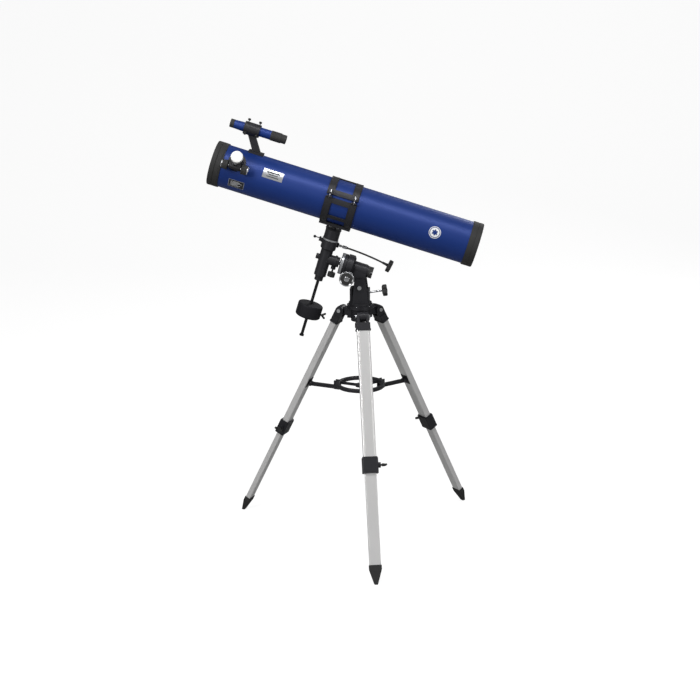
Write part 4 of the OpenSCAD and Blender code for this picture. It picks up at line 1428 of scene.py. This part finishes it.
@dataclass
class Studio:
    """Pale floor, soft lights and the camera.

    Attributes:
        layout: the sizes that place the object.
        lens: focal length in millimetres.
        distance: camera to the tripod's axis in metres, along the floor.
        height: camera above the floor in metres.
        pitch: how far the camera looks down, in radians.
        yaw: how far it looks to the right, in radians.
        roll: its roll, in radians.
        turn: turn of the camera about the tripod's axis, in radians.
        world_light: strength of the light from the white world.
        floor_glow: how bright the floor looks beyond the light that falls on it.
    """

    layout: Layout
    lens: float = 78.55
    distance: float = 4.8945
    height: float = 2.0361
    pitch: float = 0.2778
    yaw: float = -0.00708
    roll: float = -0.00473
    turn: float = -0.08697
    world_light: float = 0.22
    floor_glow: float = 0.84

    def floor(self) -> None:
        """Makes the pale floor, which curves up behind the object."""
        near, start, bend = -8.0, 4.0, 3.0
        curl = np.linspace(0.08, math.pi / 2, 16)
        run = np.concatenate(
            [np.linspace(near, start, 20), start + bend * np.sin(curl), [start + bend] * 2]
        )
        rise = np.concatenate([np.zeros(20), bend - bend * np.cos(curl), [6.0, 12.0]])
        x = np.linspace(-9.0, 9.0, 12)
        y = np.repeat(run[:, None], len(x), axis=1)
        z = np.repeat(rise[:, None], len(x), axis=1)
        points = np.stack([np.repeat(x[None], len(run), axis=0), y, z], axis=-1)
        sheet = make_piece("studio_floor", [Grid(points, closed_v=False)])
        mat = bpy.data.materials.new("studio_floor")
        mat.use_nodes = True
        shader = mat.node_tree.nodes["Principled BSDF"]
        shader.inputs["Base Color"].default_value = (0.3, 0.3, 0.3, 1)
        shader.inputs["Roughness"].default_value = 0.9
        shader.inputs["Emission Color"].default_value = (1, 1, 1, 1)
        self.seen_as(mat.node_tree, shader.inputs["Emission Strength"], 0.0, self.floor_glow)
        sheet.data.materials.append(mat)

    @staticmethod
    def seen_as(
        tree: bpy.types.NodeTree, socket: bpy.types.NodeSocket, lighting: float, seen: float
    ) -> None:
        """Gives a strength one value for the light it sheds and another where it is looked at.

        Args:
            tree: the node tree that holds the socket.
            socket: the strength input.
            lighting: value for the light it sheds.
            seen: value where it is looked at.
        """
        path, pick = tree.nodes.new("ShaderNodeLightPath"), tree.nodes.new("ShaderNodeMapRange")
        pick.inputs["To Min"].default_value = lighting
        pick.inputs["To Max"].default_value = seen
        tree.links.new(path.outputs["Is Camera Ray"], pick.inputs["Value"])
        tree.links.new(pick.outputs["Result"], socket)

    def area(
        self,
        name: str,
        place: Sequence[float],
        aim: Sequence[float],
        size: Tuple[float, float],
        power: float,
    ) -> None:
        """Adds a soft rectangular light.

        Args:
            name: the light's name.
            place: its position in metres.
            aim: the point it faces.
            size: its width and height in metres.
            power: its power in watts.
        """
        data = bpy.data.lights.new(name, "AREA")
        data.shape = "RECTANGLE"
        data.size, data.size_y = size
        data.energy = power
        light = bpy.data.objects.new(name, data)
        light.location = place
        light.rotation_euler = (Vector(aim) - Vector(place)).to_track_quat("-Z", "Y").to_euler()
        bpy.context.scene.collection.objects.link(light)

    def lights(self) -> None:
        """Sets a key, a fill, an overhead strip, two lights behind and a white world."""
        self.area("key", (-2.4, -3.6, 3.0), (0, 0, 0.9), (1.6, 1.4), 96)
        self.area("fill", (3.2, -3.2, 1.6), (0, 0, 0.8), (1.2, 1.8), 40)
        self.area("top_strip", (0.2, -1.2, 3.4), (0, 0, 1.1), (3.2, 0.35), 44)
        self.area("rear", (1.8, 3.4, 2.6), (0, 0, 0.8), (1.6, 1.2), 40)
        self.area("back_wash", (0.0, 2.6, 5.2), (0, 3.6, 0.0), (5.0, 2.0), 24)
        world = bpy.data.worlds.new("studio")
        world.use_nodes = True
        back = world.node_tree.nodes["Background"]
        back.inputs["Color"].default_value = (1, 1, 1, 1)
        self.seen_as(world.node_tree, back.inputs["Strength"], self.world_light, 1.0)
        bpy.context.scene.world = world
        bpy.context.scene.view_settings.view_transform = "Standard"

    def camera(self) -> None:
        """Sets the camera from its distance, height and angles."""
        cp, sp = math.cos(self.pitch), math.sin(self.pitch)
        cy, sy = math.cos(self.yaw), math.sin(self.yaw)
        forward = Vector((sy * cp, cy * cp, -sp))
        right = Vector((cy, -sy, 0.0))
        up = right.cross(forward)
        cr, sr = math.cos(self.roll), math.sin(self.roll)
        right, up = cr * right + sr * up, -sr * right + cr * up
        turn = Matrix.Rotation(-self.turn, 3, "Z")
        stand = Vector(self.layout.stand().origin) * MM
        place = turn @ Vector((0, -self.distance, self.height)) + stand
        basis = Matrix((turn @ right, turn @ up, -(turn @ forward))).transposed()
        data = bpy.data.cameras.new("camera")
        data.lens = self.lens
        data.sensor_width = 36.0
        data.clip_end = 60.0
        cam = bpy.data.objects.new("camera", data)
        cam.matrix_world = Matrix.Translation(place) @ basis.to_4x4()
        bpy.context.scene.collection.objects.link(cam)
        bpy.context.scene.camera = cam


def main() -> None:
    """Builds every sub-assembly in turn, dresses it, and sets the studio."""
    logging.basicConfig(level=logging.INFO, format="%(message)s")
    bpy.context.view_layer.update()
    layout = Layout()
    studio = Studio(layout)
    studio.camera()
    for kind in (Tripod, Mount, Cradle, OpticalTube, Focuser, Finder):
        part = kind(layout)
        part.build()
        part.finish()
        log.info("%s: %d new pieces", kind.__name__, len(part.pieces))
    studio.floor()
    studio.lights()


if __name__ == "__main__":
    main()
